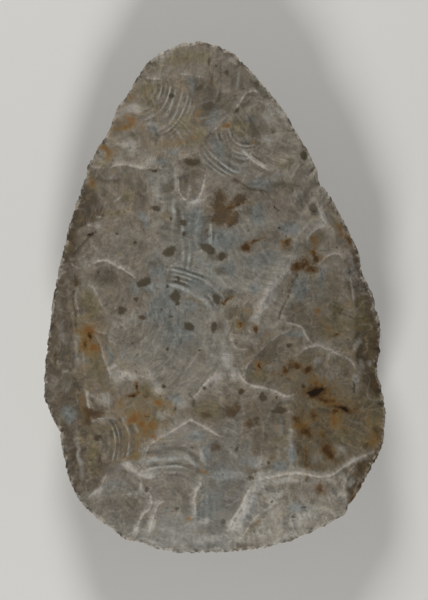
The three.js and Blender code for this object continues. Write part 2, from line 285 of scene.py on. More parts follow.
def in_ellipse(ellipse, u, v):
    """Each point's place along and across a turned ellipse, whose outline is at 1."""
    mu, mv, run, spread, heading = ellipse
    cos, sin = math.cos(math.radians(heading)), math.sin(math.radians(heading))
    return ((u - mu) * cos + (v - mv) * sin) / run, (-(u - mu) * sin + (v - mv) * cos) / spread


def bowl(scar, u, v):
    """How deep one scar cuts at each point in mm, and how that slopes."""
    *ellipse, deep = scar
    run, spread, heading = ellipse[2:]
    along, across = in_ellipse(ellipse, u, v)
    cos, sin = math.cos(math.radians(heading)), math.sin(math.radians(heading))
    slope = -2 * deep * DEPTH_UNIT * np.column_stack([
        along / run * cos - across / spread * sin, along / run * sin + across / spread * cos])
    return deep * DEPTH_UNIT * (1 - along ** 2 - across ** 2), slope


def cut_by(scars, u, v, wear):
    """How deep the scars cut in mm, how far from a ridge each point is in mm, and whose scar it is in."""
    u, v = warped(u, v)
    depth, first, second = np.full((3, len(u)), -9.0)
    slopes = np.zeros((2, len(u), 2))
    owner = np.zeros(len(u), int)
    for index, scar in enumerate(scars):
        cut, slope = bowl(scar, u, v)
        depth = soft_highest(depth, cut, wear)
        leads = cut > first
        follows = ~leads & (cut > second)
        second = np.where(leads, first, np.where(follows, cut, second))
        slopes[1] = np.where(leads[:, None], slopes[0], np.where(follows[:, None], slope, slopes[1]))
        first = np.where(leads, cut, first)
        slopes[0] = np.where(leads[:, None], slope, slopes[0])
        owner = np.where(leads, index, owner)
    bend = np.linalg.norm(slopes[0] - slopes[1], axis=1)
    from_ridge = (first - second) / np.maximum(bend, 1e-6) * UNIT
    return depth, from_ridge, owner


# The arrises
# Where a later flake cut into an earlier scar an arris stands, pale and a little worn on the sharp ones.
# Each is its boldness and the points it runs through, with the later, lower scar on its left.
ARRISES = [
    (0.5, [(-9.5, 42.2), (-12, 42.5), (-14.5, 43)]),
    (0.5, [(-2, 42.6), (-3.5, 43), (-5, 43.2), (-7, 43.4)]),
    (0.7, [(9, 39.5), (8.3, 39.9), (7, 40.2), (5.8, 39.2), (5, 38), (4, 36.6)]),
    (0.6, [(2.5, 35.2), (1.3, 33.9), (0.3, 32.6), (-1, 31.7), (-2.2, 31)]),
    (1.0, [(10.8, 24.3), (8.8, 25.5), (7.4, 26.4), (6.4, 27.2), (5, 29)]),
    (0.4, [(5.2, 21.5), (5.6, 22.8), (6.3, 24.5)]),
    (1.0, [(-11.5, 24.9), (-13.5, 25), (-14.8, 25.2), (-16, 25.5), (-17.5, 25.75), (-19, 25.6),
          (-20.4, 25.2)]), (0.5, [(-20.6, 25.1), (-22, 25.2), (-23.5, 25.4), (-24.3, 26.2)]),
    (0.8, [(-6.9, 24), (-7, 22.4), (-6.9, 20.8), (-6.3, 19.4), (-5.2, 18.5), (-4.2, 18.2), (-3.2, 19),
          (-2.6, 20.2), (-2.2, 21.8), (-1.8, 23.5), (-2.2, 25.2)]),
    (0.5, [(-21.8, 14.4), (-22.5, 13.8), (-23.5, 13.8), (-25, 14.3)]),
    (0.3, [(-21.5, 15.5), (-22.5, 15.6), (-23.5, 16.2)]),
    (0.4, [(-18.2, 19.6), (-18.8, 18.9), (-19.8, 18.6)]),
    (1.0, [(-14.2, 2.9), (-15, 3.6), (-16.6, 4.8), (-18.3, 5.8), (-20, 6.7), (-21.5, 7.2), (-23, 6.8),
          (-24.3, 6.1)]), (0.4, [(-25.4, 5.6), (-26.8, 5.8), (-28.2, 7)]),
    (0.5, [(-28.8, 5.2), (-30, 4.5)]),
    (0.45, [(-26.3, 2), (-26.8, 1), (-26.8, -0.5), (-26.4, -2.5), (-26.3, -4)]),
    (0.3, [(-20.5, -3.5), (-21.2, -2.3), (-22, -0.8), (-22.8, 0.8), (-24, 2.2), (-25.5, 2.6)]),
    (0.65, [(-19.9, -6.8), (-21, -6.9), (-22.5, -6.5), (-23.8, -5.8), (-24.8, -4.9), (-26, -4.4)]),
    (0.8, [(-20.1, -17), (-20.2, -15), (-20.7, -13), (-21.4, -11.3), (-22, -9.4), (-22.8, -7.8),
          (-24, -6.2)]), (0.6, [(-18.6, -13.3), (-19.6, -13), (-20.8, -13.3)]),
    (0.3, [(-26, -7.5), (-25.5, -10), (-25.2, -13), (-25, -16)]),
    (0.3, [(-26.3, -14.6), (-28.5, -14.4), (-30.2, -14)]),
    (0.3, [(-30.2, -14), (-30.4, -12.6), (-30.5, -11)]),
    (0.7, [(-24.2, -21.8), (-24.5, -20), (-24.8, -18)]),
    (0.4, [(-21.8, -19.6), (-23, -19.3), (-24.5, -18.3)]),
    (0.4, [(-13, -15.4), (-14, -15), (-15.5, -15.1), (-17, -14.5), (-18.5, -14.8)]),
    (0.4, [(-12.7, -13), (-12.4, -14.5), (-11.8, -16.2), (-10.6, -18.2)]),
    (0.7, [(-5, -19.5), (-3.5, -18.5), (-2.5, -17.2), (-1.2, -15.8), (-0.2, -15), (0.3, -13.5)]),
    (0.6, [(3, -7.2), (3.6, -8.8), (4.6, -9.8), (6.2, -9.7), (6.9, -10.2)]),
    (1.0, [(4.2, -12.5), (4.8, -14.5), (5.6, -15.8), (6.8, -16.7), (8.5, -17.1), (10, -17.4),
          (11.5, -17.9), (12.8, -18.6), (13.8, -18.9), (15, -18.6), (16.3, -17.8)]),
    (0.6, [(15.5, -6.1), (14, -6.4), (12.6, -6.9), (11.2, -7.9), (10, -8.8), (9, -9.9), (7.9, -10.9),
          (6.9, -12), (6.1, -13.3), (5.6, -14.6), (5.8, -15.8)]),
    (0.8, [(12.8, -4.5), (14, -4.8), (15.5, -5.2), (16.6, -5.8), (17.3, -7), (18.2, -8.3), (18.9, -8.9)]),
    (0.9, [(27.7, -14.7), (27, -13.3), (26.2, -12.2), (25, -11.4), (23.6, -10.8), (22, -10),
          (20.5, -9.3), (19.3, -9.2), (18, -9.5), (17, -10.1), (16.2, -11), (15.8, -12)]),
    (1.4, [(15.8, 6.9), (14.6, 5.8), (13.2, 4.6), (11.7, 3), (10.4, 1.2), (9.6, -0.3), (8.5, -2)]),
    (0.9, [(24.8, 7.4), (24.2, 8.4), (23.2, 8.6), (22, 8.1), (20.8, 7.2), (19.9, 6.3)]),
    (0.6, [(26.8, -1), (26.8, 0.8), (26.5, 2.5), (26.3, 4.3)]),
    (0.7, [(19.8, 18.8), (20.1, 17.6), (20.6, 16.4), (21.2, 15), (21.9, 14.2)]),
    (0.8, [(21.9, 14.2), (20.4, 13.8), (19.2, 13), (18.3, 12.2), (17.9, 11.4), (17.8, 10.2)]),
    (0.4, [(21.9, 14.2), (22.8, 13.2), (23.2, 11.8)]),
    (0.6, [(-18.2, -23.6), (-19.8, -23.2), (-21.5, -23.2), (-23, -23.5), (-24, -24.2)]),
    (0.8, [(1.8, -26.8), (0.5, -26.2), (-1, -25.3), (-3, -24.2), (-4.4, -23.4), (-5, -23.6), (-7, -24.8),
          (-9, -26), (-11, -27.2), (-12.5, -28.4), (-13.3, -30), (-13.8, -31.8)]),
    (0.6, [(-14, -33.5), (-14.2, -35.5), (-14, -37.3), (-12.9, -38)]),
    (0.5, [(-20.8, -33.8), (-21.5, -35.3), (-22.2, -36.8), (-23.5, -38), (-25.4, -39.2)]),
    (0.3, [(-14, -38), (-16, -38), (-18.5, -38.1), (-20, -38.6), (-21.5, -39)]),
    (0.8, [(-12.6, -37.6), (-12.2, -39.2), (-12.6, -40.8), (-13.6, -41.6), (-14.3, -42.6), (-15.3, -45),
          (-16.8, -46.2)]),
    (0.9, [(-8.8, -39.8), (-10.4, -39.6), (-11.4, -41), (-11.9, -42.5), (-12.4, -44.2), (-12.8, -45.8),
          (-13.2, -47)]),
    (1.2, [(-2.3, -34.5), (-2.8, -36), (-3.6, -37.5), (-3.9, -39), (-3.8, -40.5), (-3.9, -42)]),
    (0.5, [(-4.9, -42.7), (-3.6, -42.3), (-2.5, -42.8), (-1.6, -43.3)]),
    (1.0, [(2.4, -45.4), (3.2, -43.5), (4.2, -41.8), (5.2, -40.2), (5.9, -38.6), (6.7, -36.8),
          (7.8, -35.3)]),
    (0.5, [(13.2, -37.8), (12, -39.2), (10.5, -40.6), (8.5, -42), (7, -43.6), (6, -45.4), (5, -47)]),
    (1.0, [(31.6, -29.8), (28.8, -30.8), (27, -31.6), (25, -32.8), (23.5, -33.8), (22, -34.5),
          (20, -34.6), (18, -34.2), (16, -33.8), (13.5, -34), (11.5, -34.4), (9.5, -34.8), (7.8, -35.2)]),
    (0.5, [(27.5, -32), (26.3, -33.6), (25.5, -35), (25.1, -36.5), (25.3, -38.5), (25.8, -40.4)]),
    (0.4, [(33, -19.9), (31.5, -20), (30, -19.6), (29.3, -18.3)]),
    (0.3, [(13.8, -20.5), (14.5, -23), (14.6, -26), (14.4, -29)]),
    (0.3, [(2.5, -28.5), (3.8, -30), (5, -31.5), (6.5, -33)]),
    (0.4, [(-9.2, 3), (-9, 5), (-8.3, 6.2), (-7, 6.6), (-5.5, 6.2), (-4, 5.6), (-2.2, 5.6)]),
    (0.4, [(-0.6, -1.6), (-2.4, -0.4), (-4.5, 0.2), (-6.2, 0.6)]),
    (0.45, [(3.2, -4.2), (4.2, -3.7), (5.1, -4.3), (5.2, -5.4), (4.3, -6), (3.5, -5.6)]),
    (0.4, [(5.9, -6.5), (6.8, -6.2), (7.6, -7), (7.3, -8.1), (6.3, -8.4)]),
    (0.4, [(1.4, -3.2), (2.3, -4.3), (2.6, -5.8), (3.3, -6.9), (4.4, -7.4)]),
    (0.4, [(7.8, -3.2), (8.5, -4.3), (8.3, -5.7)]), (0.4, [(2.4, -8.9), (3.2, -7.9), (4.3, -7.7)]),
    (0.35, [(-11.8, 2.4), (-12.4, 4), (-12.2, 5.8), (-11.2, 7)]),
    (0.35, [(-10.4, 2.6), (-10.7, 4.2), (-10.1, 5.8)]),
]
# Creases: fine steps where a flake broke off short, cut as shallow grooves with painted shade along them
CREASES = [
    [(-28.6, 7.1), (-26.5, 9.5), (-24.8, 11.3), (-23.2, 12.7)],
    [(-27.3, 1.2), (-27.4, -1), (-26.9, -3), (-26.8, -6.5)], [(-23.6, -6.8), (-22.3, -8.9), (-21.7, -11)],
    [(15.8, 4.3), (15, 2.8), (14.4, 1.2), (13.8, -0.5), (12.8, -2.3), (12.2, -4)],
    [(27.4, -15.5), (27, -16.8), (26.9, -18.2)], [(-4.8, -18.6), (-4, -19.5), (-4.2, -20.7)],
    [(-12.6, 24.6), (-11.6, 24.3), (-11, 24.9)], [(5, 22), (7, 20.8), (9.5, 20.6)],
    [(5.2, -41), (4.2, -42.4), (3.4, -44.2)], [(-9.3, -28.7), (-6.8, -28.7), (-4.4, -28.8)],
    [(6.6, 27.9), (8, 27), (9.5, 26)],
]
CREST_HEIGHT = 0.34
CREST_REACH = (1.1, 3.4)
CREST_ROUNDING = 0.12
CREASE_DEPTH = 0.09
CREASE_REACH = 0.5
LINE_CURVE_STEPS = 12
LINE_STEP = 0.28
LINE_STRAY = 0.12
LINE_STRAY_SIZE = 1.5
# A line keeps this share of its boldness at its ends, and has all of it past this share of its length
LINE_END_BOLDNESS = 0.3
LINE_END_SHARE = 0.2


def smoothstep(low, high, value):
    share = np.clip((value - low) / (high - low), 0, 1)
    return share * share * (3 - 2 * share)


def line_samples(lines):
    """Places, directions and boldness along all the lines, which fade at their ends."""
    places, headings, boldness = [], [], []
    for bold, points in lines:
        line = smooth_curve([points[0]] + points + [points[-1]], LINE_CURVE_STEPS, spacing=LINE_STEP)
        line += LINE_STRAY * np.array(
            [noise.noise_vector(Vector((x, y, 9)) / LINE_STRAY_SIZE)[:2] for x, y in line])
        share = np.linspace(0, 1, len(line))
        full = smoothstep(0, LINE_END_SHARE, share) * smoothstep(0, LINE_END_SHARE, 1 - share)
        places.append(line)
        headings.append(np.gradient(line, axis=0))
        boldness.append(bold * (LINE_END_BOLDNESS + (1 - LINE_END_BOLDNESS) * full))
    return np.vstack(places), np.vstack(headings), np.concatenate(boldness)


def nearest_line(samples, u, v):
    """Distance in mm from the nearest line, less than 0 on its left, and how bold the line is there."""
    places, headings, boldness = samples
    tree = kdtree.KDTree(len(places))
    for k, (x, y) in enumerate(places):
        tree.insert((x, y, 0), k)
    tree.balance()
    index = np.array([tree.find((x, y, 0))[1] for x, y in zip(u, v)])
    away_u, away_v = u - places[index, 0], v - places[index, 1]
    left = headings[index, 0] * away_v - headings[index, 1] * away_u > 0
    away = np.hypot(away_u, away_v) * UNIT
    return np.where(left, -away, away), boldness[index]


arris_samples = line_samples(ARRISES)
crease_samples = line_samples([(1, points) for points in CREASES])

# Ripples
# A blow's shock wave stands in the glassy stone as fine arcs round the point that was struck.
# Each is the middle of its arcs, spacing and height in mm, how much the patina shows them, their first
# and last radius, and the patch that bears them.
RIPPLES = [
    ((-15.5, 41), 1.7, 0.09, 1, (4.5, 13), (-9, 36, 6.5, 5, -30)),
    ((6.5, 33), 1.6, 0.1, 1.2, (3.5, 11.5), (2, 27.5, 6.4, 4.6, 215)),
    ((-28, -28.5), 1.75, 0.11, 0.9, (6.4, 14.6), (-18.3, -27.2, 5.4, 4.6, 0)),
    ((-9, -41.5), 2.3, 0.12, 1, (7.6, 15), (-8.6, -31, 6.6, 4.4, 0)),
    ((-12, -4), 1.8, 0.04, 0.4, (7, 17), (-5.5, -11.5, 7, 6.5, -40)),
    ((-9, -8), 1.8, 0.12, 1.1, (8, 15.5), (-4, 2.6, 6.8, 4.2, -25)),
    ((-45, 12), 2.5, 0.07, 1.1, (36, 46), (-4.2, 12, 4.8, 6.5, 0)),
    ((-45, 20), 2.4, 0.06, 0.6, (30, 45), (-7, 20.5, 5.2, 5.4, 0)),
    ((-40, -27), 2.6, 0.05, 0.35, (44, 57), (9.5, -27, 6, 6.5, 0)),
    ((-30, 43), 1.9, 0.05, 0.5, (30, 37), (3, 42, 3, 3.5, 0)),
    ((18, 14), 1.5, 0.035, 0.4, (6, 20), (7, 7, 5.5, 5, 0)),
    ((-12, 1), 1.8, 0.04, 0.4, (29, 36), (18.5, 2, 3.5, 3.5, 0)),
    ((-20, 12), 1.7, 0.035, 0.3, (2, 8), (-22, 9, 4, 3, 0)),
    ((-14, 26), 1.6, 0.05, 0.6, (3, 12), (-5.5, 32, 3.4, 3, 0)),
]
RIPPLE_FADE = 1.2
RIPPLE_SOFT_OUTLINE = 0.35
# Rings stray with u, v and their radius: how far, in radians, and how quickly
RIPPLE_STRAYS = [(0.9, 0.8), (0.8, 0.7), (1.8, 1.1)]
# No two rings stand as high, and each comes and goes along its length
RING_STRENGTH = 0.75
RING_UNEVENNESS = 0.35
RING_LUMP_SIZE = 3.2
RING_LUMP_STRENGTH = (0.8, 1.4)
RING_LUMP_MOST = 1.3


def patch_share(patch, u, v, soft):
    """1 inside an ellipse, fading to 0 at its outline."""
    return 1 - smoothstep(1 - soft, 1 + soft / 2, np.hypot(*in_ellipse(patch, u, v)))


def ripple_height(u, v):
    """Height in mm that the ripples add to the upper face, and 0 in their troughs to 1 on their crests."""
    total = np.zeros(len(u))
    crests = np.full(len(u), 0.5)
    for k, (middle, spacing, height, show, radii, patch) in enumerate(RIPPLES):
        away = np.hypot(u - middle[0], v - middle[1])
        stray = sum(far * np.sin(quick * way + start) for (far, quick), way, start in zip(
            RIPPLE_STRAYS, (u, v, away), (k, 2 * k, k)))
        turns = away * UNIT / spacing + stray / (2 * math.pi)
        wave = np.sin(2 * math.pi * turns)
        wave *= RING_STRENGTH + RING_UNEVENNESS * np.sin(2.3 * np.floor(turns) + 1.7 * k)
        lumps = np.array([noise.noise(Vector((x, y, k)) / RING_LUMP_SIZE) for x, y in zip(u, v)])
        wave *= np.clip(RING_LUMP_STRENGTH[0] + RING_LUMP_STRENGTH[1] * lumps, 0, RING_LUMP_MOST)
        start, end = radii
        fade = smoothstep(start - RIPPLE_FADE, start, away) * (1 - smoothstep(end - RIPPLE_FADE, end, away))
        fade *= patch_share(patch, u, v, RIPPLE_SOFT_OUTLINE)
        total += height * fade * wave
        crests += 0.5 * fade * wave * show
    return total, np.clip(crests, 0, 1)


# The stone itself
# The two faces are worked out point by point on a fine even net, as no modelling tool strikes flakes.
# They meet in a blunt edge, and the belly ends in the flat spot that the axe lies on.
FACE_SPACING = 0.5
BELLY_SPACING = 1.0
EDGE_ROUNDING = 0.12
LEAST_EDGE = 0.3
EDGE_SHARE = 0.35
FADE_START = 0.84
CHIP_ZONE = 0.86
WORN_BY_ARRIS = 0.5
WORN_REACH = 3
NET_WIDTH = 70
NET_LENGTH = 102
EDGE_CLEARANCE = 0.25
LINE_CLEARANCE = 0.27
# Ripples higher than this, in mm, stand on a finer net
FINE_RIPPLE_HEIGHT = 0.055
SMOOTH_BELOW_DEGREES = 60
SWELLS = [dict(size=11.0, height=0.3), dict(size=4.0, height=0.13), dict(size=1.8, height=0.035)]


def chipped(scars, chips, u, v, share, wear):
    """The cut of the scars, with the edge chips tried only where they can reach."""
    depth, from_ridge, owner = cut_by(scars, u, v, wear)
    near = share > CHIP_ZONE
    depth[near], from_ridge[near], owner[near] = cut_by(scars + chips, u[near], v[near], wear[near])
    return depth, from_ridge, owner


def swell_height(u, v, side):
    """Low uneven swells in mm: no scar in flint is a true bowl."""
    places = np.column_stack([u, v]) * UNIT
    total = np.zeros(len(u))
    for swell in SWELLS:
        total += swell["height"] * np.array(
            [noise.noise(Vector((x, y, 40 * side + swell["size"])) / swell["size"]) for x, y in places])
    return total


face_scars = list(FACE_SCARS.values())
face_chips = edge_chips(1) + fine_chips(seed=5)
belly_chips = edge_chips(-1) + fine_chips(seed=6)


def knapped(u, v):
    """Both faces' heights in mm at each point, and what the patina needs to know of them."""
    _, share = polar(u, v)
    depth_share = 1 + (EDGE_SHARE - 1) * smoothstep(FADE_START, 1, share)
    beside, bold = nearest_line(arris_samples, u, v)
    wear = RIDGE_WEAR + WORN_BY_ARRIS * bold * np.exp(-(beside / WORN_REACH) ** 2)
    cut, from_ridge, owner = chipped(face_scars, face_chips, u, v, share, wear)
    ripples, crests = ripple_height(u, v)
    reach = np.where(beside < 0, *CREST_REACH)
    rounded = np.hypot(beside, CREST_ROUNDING) - CREST_ROUNDING
    crest = CREST_HEIGHT * bold * np.exp(-rounded / reach)
    crease, _ = nearest_line(crease_samples, u, v)
    groove = CREASE_DEPTH * np.exp(-(crease / CREASE_REACH) ** 2)
    top = face_height(u, v, 1) + depth_share * (ripples + swell_height(u, v, 1) + crest - groove - cut)
    below, belly_ridge, _ = chipped(belly_scars(), belly_chips, u, v, share, np.full(len(u), RIDGE_WEAR))
    bottom = face_height(u, v, -1) + depth_share * (below + swell_height(u, v, -1))
    middle = (top + bottom) / 2
    half = np.maximum(top - bottom, LEAST_EDGE) / 2
    return dict(top=middle + half, bottom=np.maximum(middle - half, 0), from_ridge=from_ridge, owner=owner,
                crests=crests, from_arris=np.abs(beside), low_side=beside < 0, bold=bold,
                from_crease=np.abs(crease), belly_ridge=belly_ridge, share=share)


def to_metres(u, v, height):
    """Points of the plane at their heights in mm, placed in the frame."""
    x = (u - rim_middle[0]) * AXE_WIDTH / rim_size[0]
    y = (v - rim_middle[1]) * AXE_LENGTH / rim_size[1]
    return np.column_stack([x, y, height]) * MM


def even_grid(spacing_mm, step_u=0.0, step_v=0.0):
    """The points of an even net of triangles, shifted by a share of its spacing."""
    spacing = spacing_mm / UNIT
    rows = np.arange(-NET_LENGTH / 2, NET_LENGTH / 2, spacing * math.sqrt(3) / 2)
    u, v = np.meshgrid(np.arange(-NET_WIDTH / 2, NET_WIDTH / 2, spacing), rows)
    u = u + np.where(np.arange(len(rows)) % 2, spacing / 2, 0)[:, None] + step_u * spacing
    return np.column_stack([u.ravel(), v.ravel() + step_v * spacing])


def rippled(points):
    """True where the ripples are high enough to need a finer net."""
    high = [patch for _, _, height, _, _, patch in RIPPLES if height > FINE_RIPPLE_HEIGHT]
    return np.any([patch_share(patch, *points.T, 0.2) > 0.1 for patch in high], axis=0)


def net_inside(loop, points):
    """Triangles between a loop and the points inside it: the points, the triangles and the loop's places."""
    angle, share = polar(*points.T)
    points = np.vstack([loop, points[edge_reach(angle) * (1 - share) > EDGE_CLEARANCE]])
    sides = [(k, (k + 1) % len(loop)) for k in range(len(loop))]
    found, _, triangles, origins, _, _ = geometry.delaunay_2d_cdt(
        [Vector(point) for point in points], sides, [], 1, 1e-6)
    place = {start: k for k, starts in enumerate(origins) for start in starts if start < len(loop)}
    return np.array([tuple(point) for point in found]), triangles, [place[k] for k in range(len(loop))]


# Where ripples are high, the middle of every triangle of the net gets a point too
finer = np.vstack([
    even_grid(FACE_SPACING, 0.5, 0.5 / math.sqrt(3)), even_grid(FACE_SPACING, 0, 1 / math.sqrt(3))])
face_grid = np.vstack([even_grid(FACE_SPACING), finer[rippled(finer)]])
line_samples_joined = [np.concatenate(pair) for pair in zip(arris_samples, crease_samples)]
off_lines = np.abs(nearest_line(line_samples_joined, *face_grid.T)[0])
face_grid = np.vstack([face_grid[off_lines > LINE_CLEARANCE], line_samples_joined[0]])

inset = rim + inwards * EDGE_ROUNDING / UNIT
face_net, face_triangles, face_loop = net_inside(inset, face_grid)
belly_net, belly_triangles, belly_loop = net_inside(inset, even_grid(BELLY_SPACING))
face = knapped(*face_net.T)
belly = knapped(*belly_net.T)
edge_height = (face["top"][face_loop] + belly["bottom"][belly_loop]) / 2
stone_points = np.vstack([to_metres(*face_net.T, face["top"]), to_metres(*belly_net.T, belly["bottom"]),
                          to_metres(*rim.T, edge_height)])

belly_start = len(face_net)
edge_start = belly_start + len(belly_net)
stone_faces = [tuple(t) for t in face_triangles]
stone_faces += [tuple(belly_start + k for k in reversed(t)) for t in belly_triangles]
for k in range(RIM_STEPS):
    after = (k + 1) % RIM_STEPS
    stone_faces.append((face_loop[k], face_loop[after], edge_start + after, edge_start + k))
    stone_faces.append((
        edge_start + k, edge_start + after, belly_start + belly_loop[after], belly_start + belly_loop[k]))

stone_mesh = bpy.data.meshes.new("flint_hand_axe")
stone_mesh.from_pydata(stone_points.tolist(), [], stone_faces)
stone = bpy.data.objects.new("flint_hand_axe", stone_mesh)
bpy.context.scene.collection.objects.link(stone)
bpy.ops.object.select_all(action="DESELECT")
stone.select_set(True)
bpy.context.view_layer.objects.active = stone
bpy.ops.object.mode_set(mode="EDIT")
bpy.ops.mesh.select_all(action="SELECT")
bpy.ops.mesh.normals_make_consistent(inside=False)
bpy.ops.object.mode_set(mode="OBJECT")
bpy.ops.object.shade_smooth_by_angle(angle=math.radians(SMOOTH_BELOW_DEGREES))
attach(stone, "root")
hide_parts("hand_axe")

# Stains and patina
# Buried in clay and gravel, the flint took up iron and humus in spots, and its skin turned cloudy grey.
# Each mark is its middle u and v, half length, half width, heading in degrees, and its strength if not 1.
SPOTS = [
    (-8.8, 8.8, 1.2, 1.0, 20), (-1.4, 9.3, 1.7, 0.9, -35), (1.4, 8.1, 0.9, 0.9, 0),
    (0.3, -0.3, 0.9, 1.3, 0), (-7.6, 0.2, 0.9, 1.1, -60), (-7.1, -1.0, 0.5, 0.5, 0),
    (-13.4, 3.0, 1.4, 0.7, 10), (-14.3, 2.5, 0.6, 0.5, 0), (-17.8, -2.4, 1.0, 0.8, 0),
    (-4.8, -5.6, 1.2, 0.9, -30), (-0.1, -5.6, 0.7, 1.1, 15), (-11.4, 17.0, 1.0, 0.6, 0),
    (-4.3, 26.1, 1.7, 0.8, -8), (18.8, 17.0, 0.9, 1.4, 10, 0.65), (11.2, 32.4, 0.9, 0.9, 0, 0.6),
    (9.2, 38.6, 0.9, 0.8, 30, 0.5), (7.8, 41.3, 1.3, 0.7, -25, 0.6), (17.3, 27.6, 0.6, 0.8, 0),
    (-1.0, 36.9, 1.3, 0.8, 0), (0.9, 38.6, 0.5, 1.3, -20, 0.75), (-8.4, 39.0, 0.6, 0.5, 0),
    (-2.9, 40.6, 0.9, 0.5, 30), (-8.4, 15.1, 0.3, 0.3, 0), (-11.7, 24.5, 0.9, 0.4, 20),
    (14.1, -9.3, 0.6, 0.5, 0), (5.2, -18.1, 0.5, 0.5, 0), (9.4, -18.9, 0.7, 0.7, 0),
    (12.2, -21.6, 1.5, 0.6, 0), (-13.2, -37.0, 0.4, 0.6, 0), (15.3, -42.5, 0.4, 0.4, 0),
    (17.2, -40.6, 0.5, 0.3, 0), (11.2, -39.4, 0.3, 0.3, 0), (1.7, -43.4, 0.5, 0.5, 0),
    (-22.5, -27.0, 0.9, 0.7, 0), (-7.3, -40.7, 0.5, 0.4, 0), (4.3, 36.2, 0.6, 0.4, 30),
    (0.3, 45.0, 0.3, 0.3, 0), (-1.1, 46.0, 0.3, 0.6, 0), (2.5, 43.7, 0.4, 0.5, 0), (5.4, 40.7, 0.3, 0.3, 0),
    (-3.2, -18.0, 0.3, 0.4, 0), (-2.0, -17.5, 0.4, 0.4, 0), (11.7, -19.2, 0.3, 0.4, 0),
    (16.9, -17.0, 0.4, 0.4, 0), (-9.8, -17.0, 0.4, 0.4, 0), (-5.9, 12.3, 0.4, 0.4, 0),
    (-6.2, 14.4, 0.6, 0.7, 0), (-15.3, 10.7, 0.4, 0.4, 0), (-19.0, 12.1, 0.3, 0.3, 0),
    (-22.4, 4.8, 0.3, 0.3, 0), (10.4, -31.7, 0.3, 0.4, 0), (-3.0, -10.0, 0.3, 0.3, 0),
    (-8.5, -3.7, 0.3, 0.3, 0), (-10.2, -2.2, 0.3, 0.3, 0), (-9.0, -9.8, 0.3, 0.3, 0),
    (-15.0, -0.3, 0.5, 0.4, 0), (-9.0, 2.3, 0.4, 0.3, 30), (-6.8, 3.6, 0.3, 0.3, 0),
    (4.4, -29.0, 0.4, 0.3, 0),
]
IRON = [
    (-24.4, -6.4, 1.5, 1.2, -55), (-24.9, -9.0, 1.0, 1.3, 0), (-23.3, -9.4, 1.2, 0.9, -60),
    (-23.2, -11.0, 1.2, 0.7, -80, 0.6), (-25.5, -20.3, 1.4, 0.4, -85, 0.7), (-15.3, -23.2, 1.8, 0.8, 15),
    (-13.9, -24.3, 1.3, 0.7, -20), (-12.1, -24.6, 1.1, 0.9, 0, 0.8), (-13.4, -25.8, 1.4, 0.7, -60, 0.7),
    (-11.6, -26.6, 1.1, 0.6, -50, 0.6), (-14.8, -28.4, 1.9, 0.4, 85, 0.7), (-15.4, -30.8, 2.1, 0.5, 8, 0.6),
    (-10.7, -20.3, 0.7, 0.6, -40, 0.8), (-17.9, -20.5, 0.8, 0.8, 0, 0.6), (-12.4, -22.2, 0.5, 1.2, 0, 0.5),
    (-16.8, -26.6, 0.4, 1.4, 0, 0.4), (-23.8, 22.2, 0.6, 0.8, 0, 0.8), (-21.4, 29.2, 1.6, 0.6, -20, 0.8),
    (-20.6, 27.8, 1.0, 0.9, -60, 0.8), (-18.2, 33.2, 2.2, 0.6, 10, 0.8), (-16.2, 34.4, 0.8, 0.9, -30, 0.8),
    (-16.2, 39.2, 0.8, 0.6, 30, 0.6), (-3.4, 35.0, 0.4, 1.1, -20, 0.8), (2.0, 33.2, 0.8, 0.7, 0, 0.8),
    (-9, 29.6, 1.4, 0.5, 10, 0.6), (-6.2, 30.2, 1.6, 0.6, 0, 0.6), (-3.6, 30.4, 0.9, 0.5, 0, 0.6),
    (7.6, 29.9, 0.5, 0.4, 0, 0.7), (-2.1, -33.5, 0.6, 0.3, 0, 0.8), (-4.9, -42.9, 0.5, 0.3, 0, 0.8),
    (8.4, -13, 0.6, 0.9, 20, 0.8), (10.2, -12.6, 0.6, 0.4, 0, 0.8), (24.2, 13.4, 0.4, 1.3, 20, 0.8),
    (4.9, -5.0, 0.7, 0.8, 0, 0.8), (6.0, -2.4, 1.8, 0.7, -20, 0.4), (19.6, -2.4, 0.6, 0.7, 0, 0.8),
    (21.4, -5.6, 1.4, 0.7, -40, 0.5), (26.4, -5.2, 2.0, 0.6, 10, 0.4), (25.6, -1.4, 0.9, 0.4, 20, 0.4),
    (19.4, -15.8, 1.5, 1.2, 0, 0.6), (23.0, -23.4, 1.3, 1.5, 20, 0.8), (24.6, -25.2, 0.8, 1.0, 0, 0.6),
    (16.8, -24.4, 1.4, 1.3, 0, 0.8), (22.4, -19.8, 2.4, 0.9, -14, 0.8), (20.2, -16.8, 1.6, 1.2, 0, 0.9),
    (31.0, -27.4, 1.2, 2.2, 0, 0.6), (29.8, -24.6, 1.0, 1.2, 0, 0.4), (19.0, 10.8, 0.8, 1.2, -20, 0.7),
    (19.0, 8.6, 0.6, 0.9, 0, 0.8), (-9.6, 15.4, 0.9, 0.7, 0, 0.4), (13.2, 10.8, 0.7, 0.7, 0, 0.7),
    (25.4, 12.2, 0.5, 0.8, 30, 0.7), (27.6, -39.0, 1.1, 0.9, 50, 0.6),
]
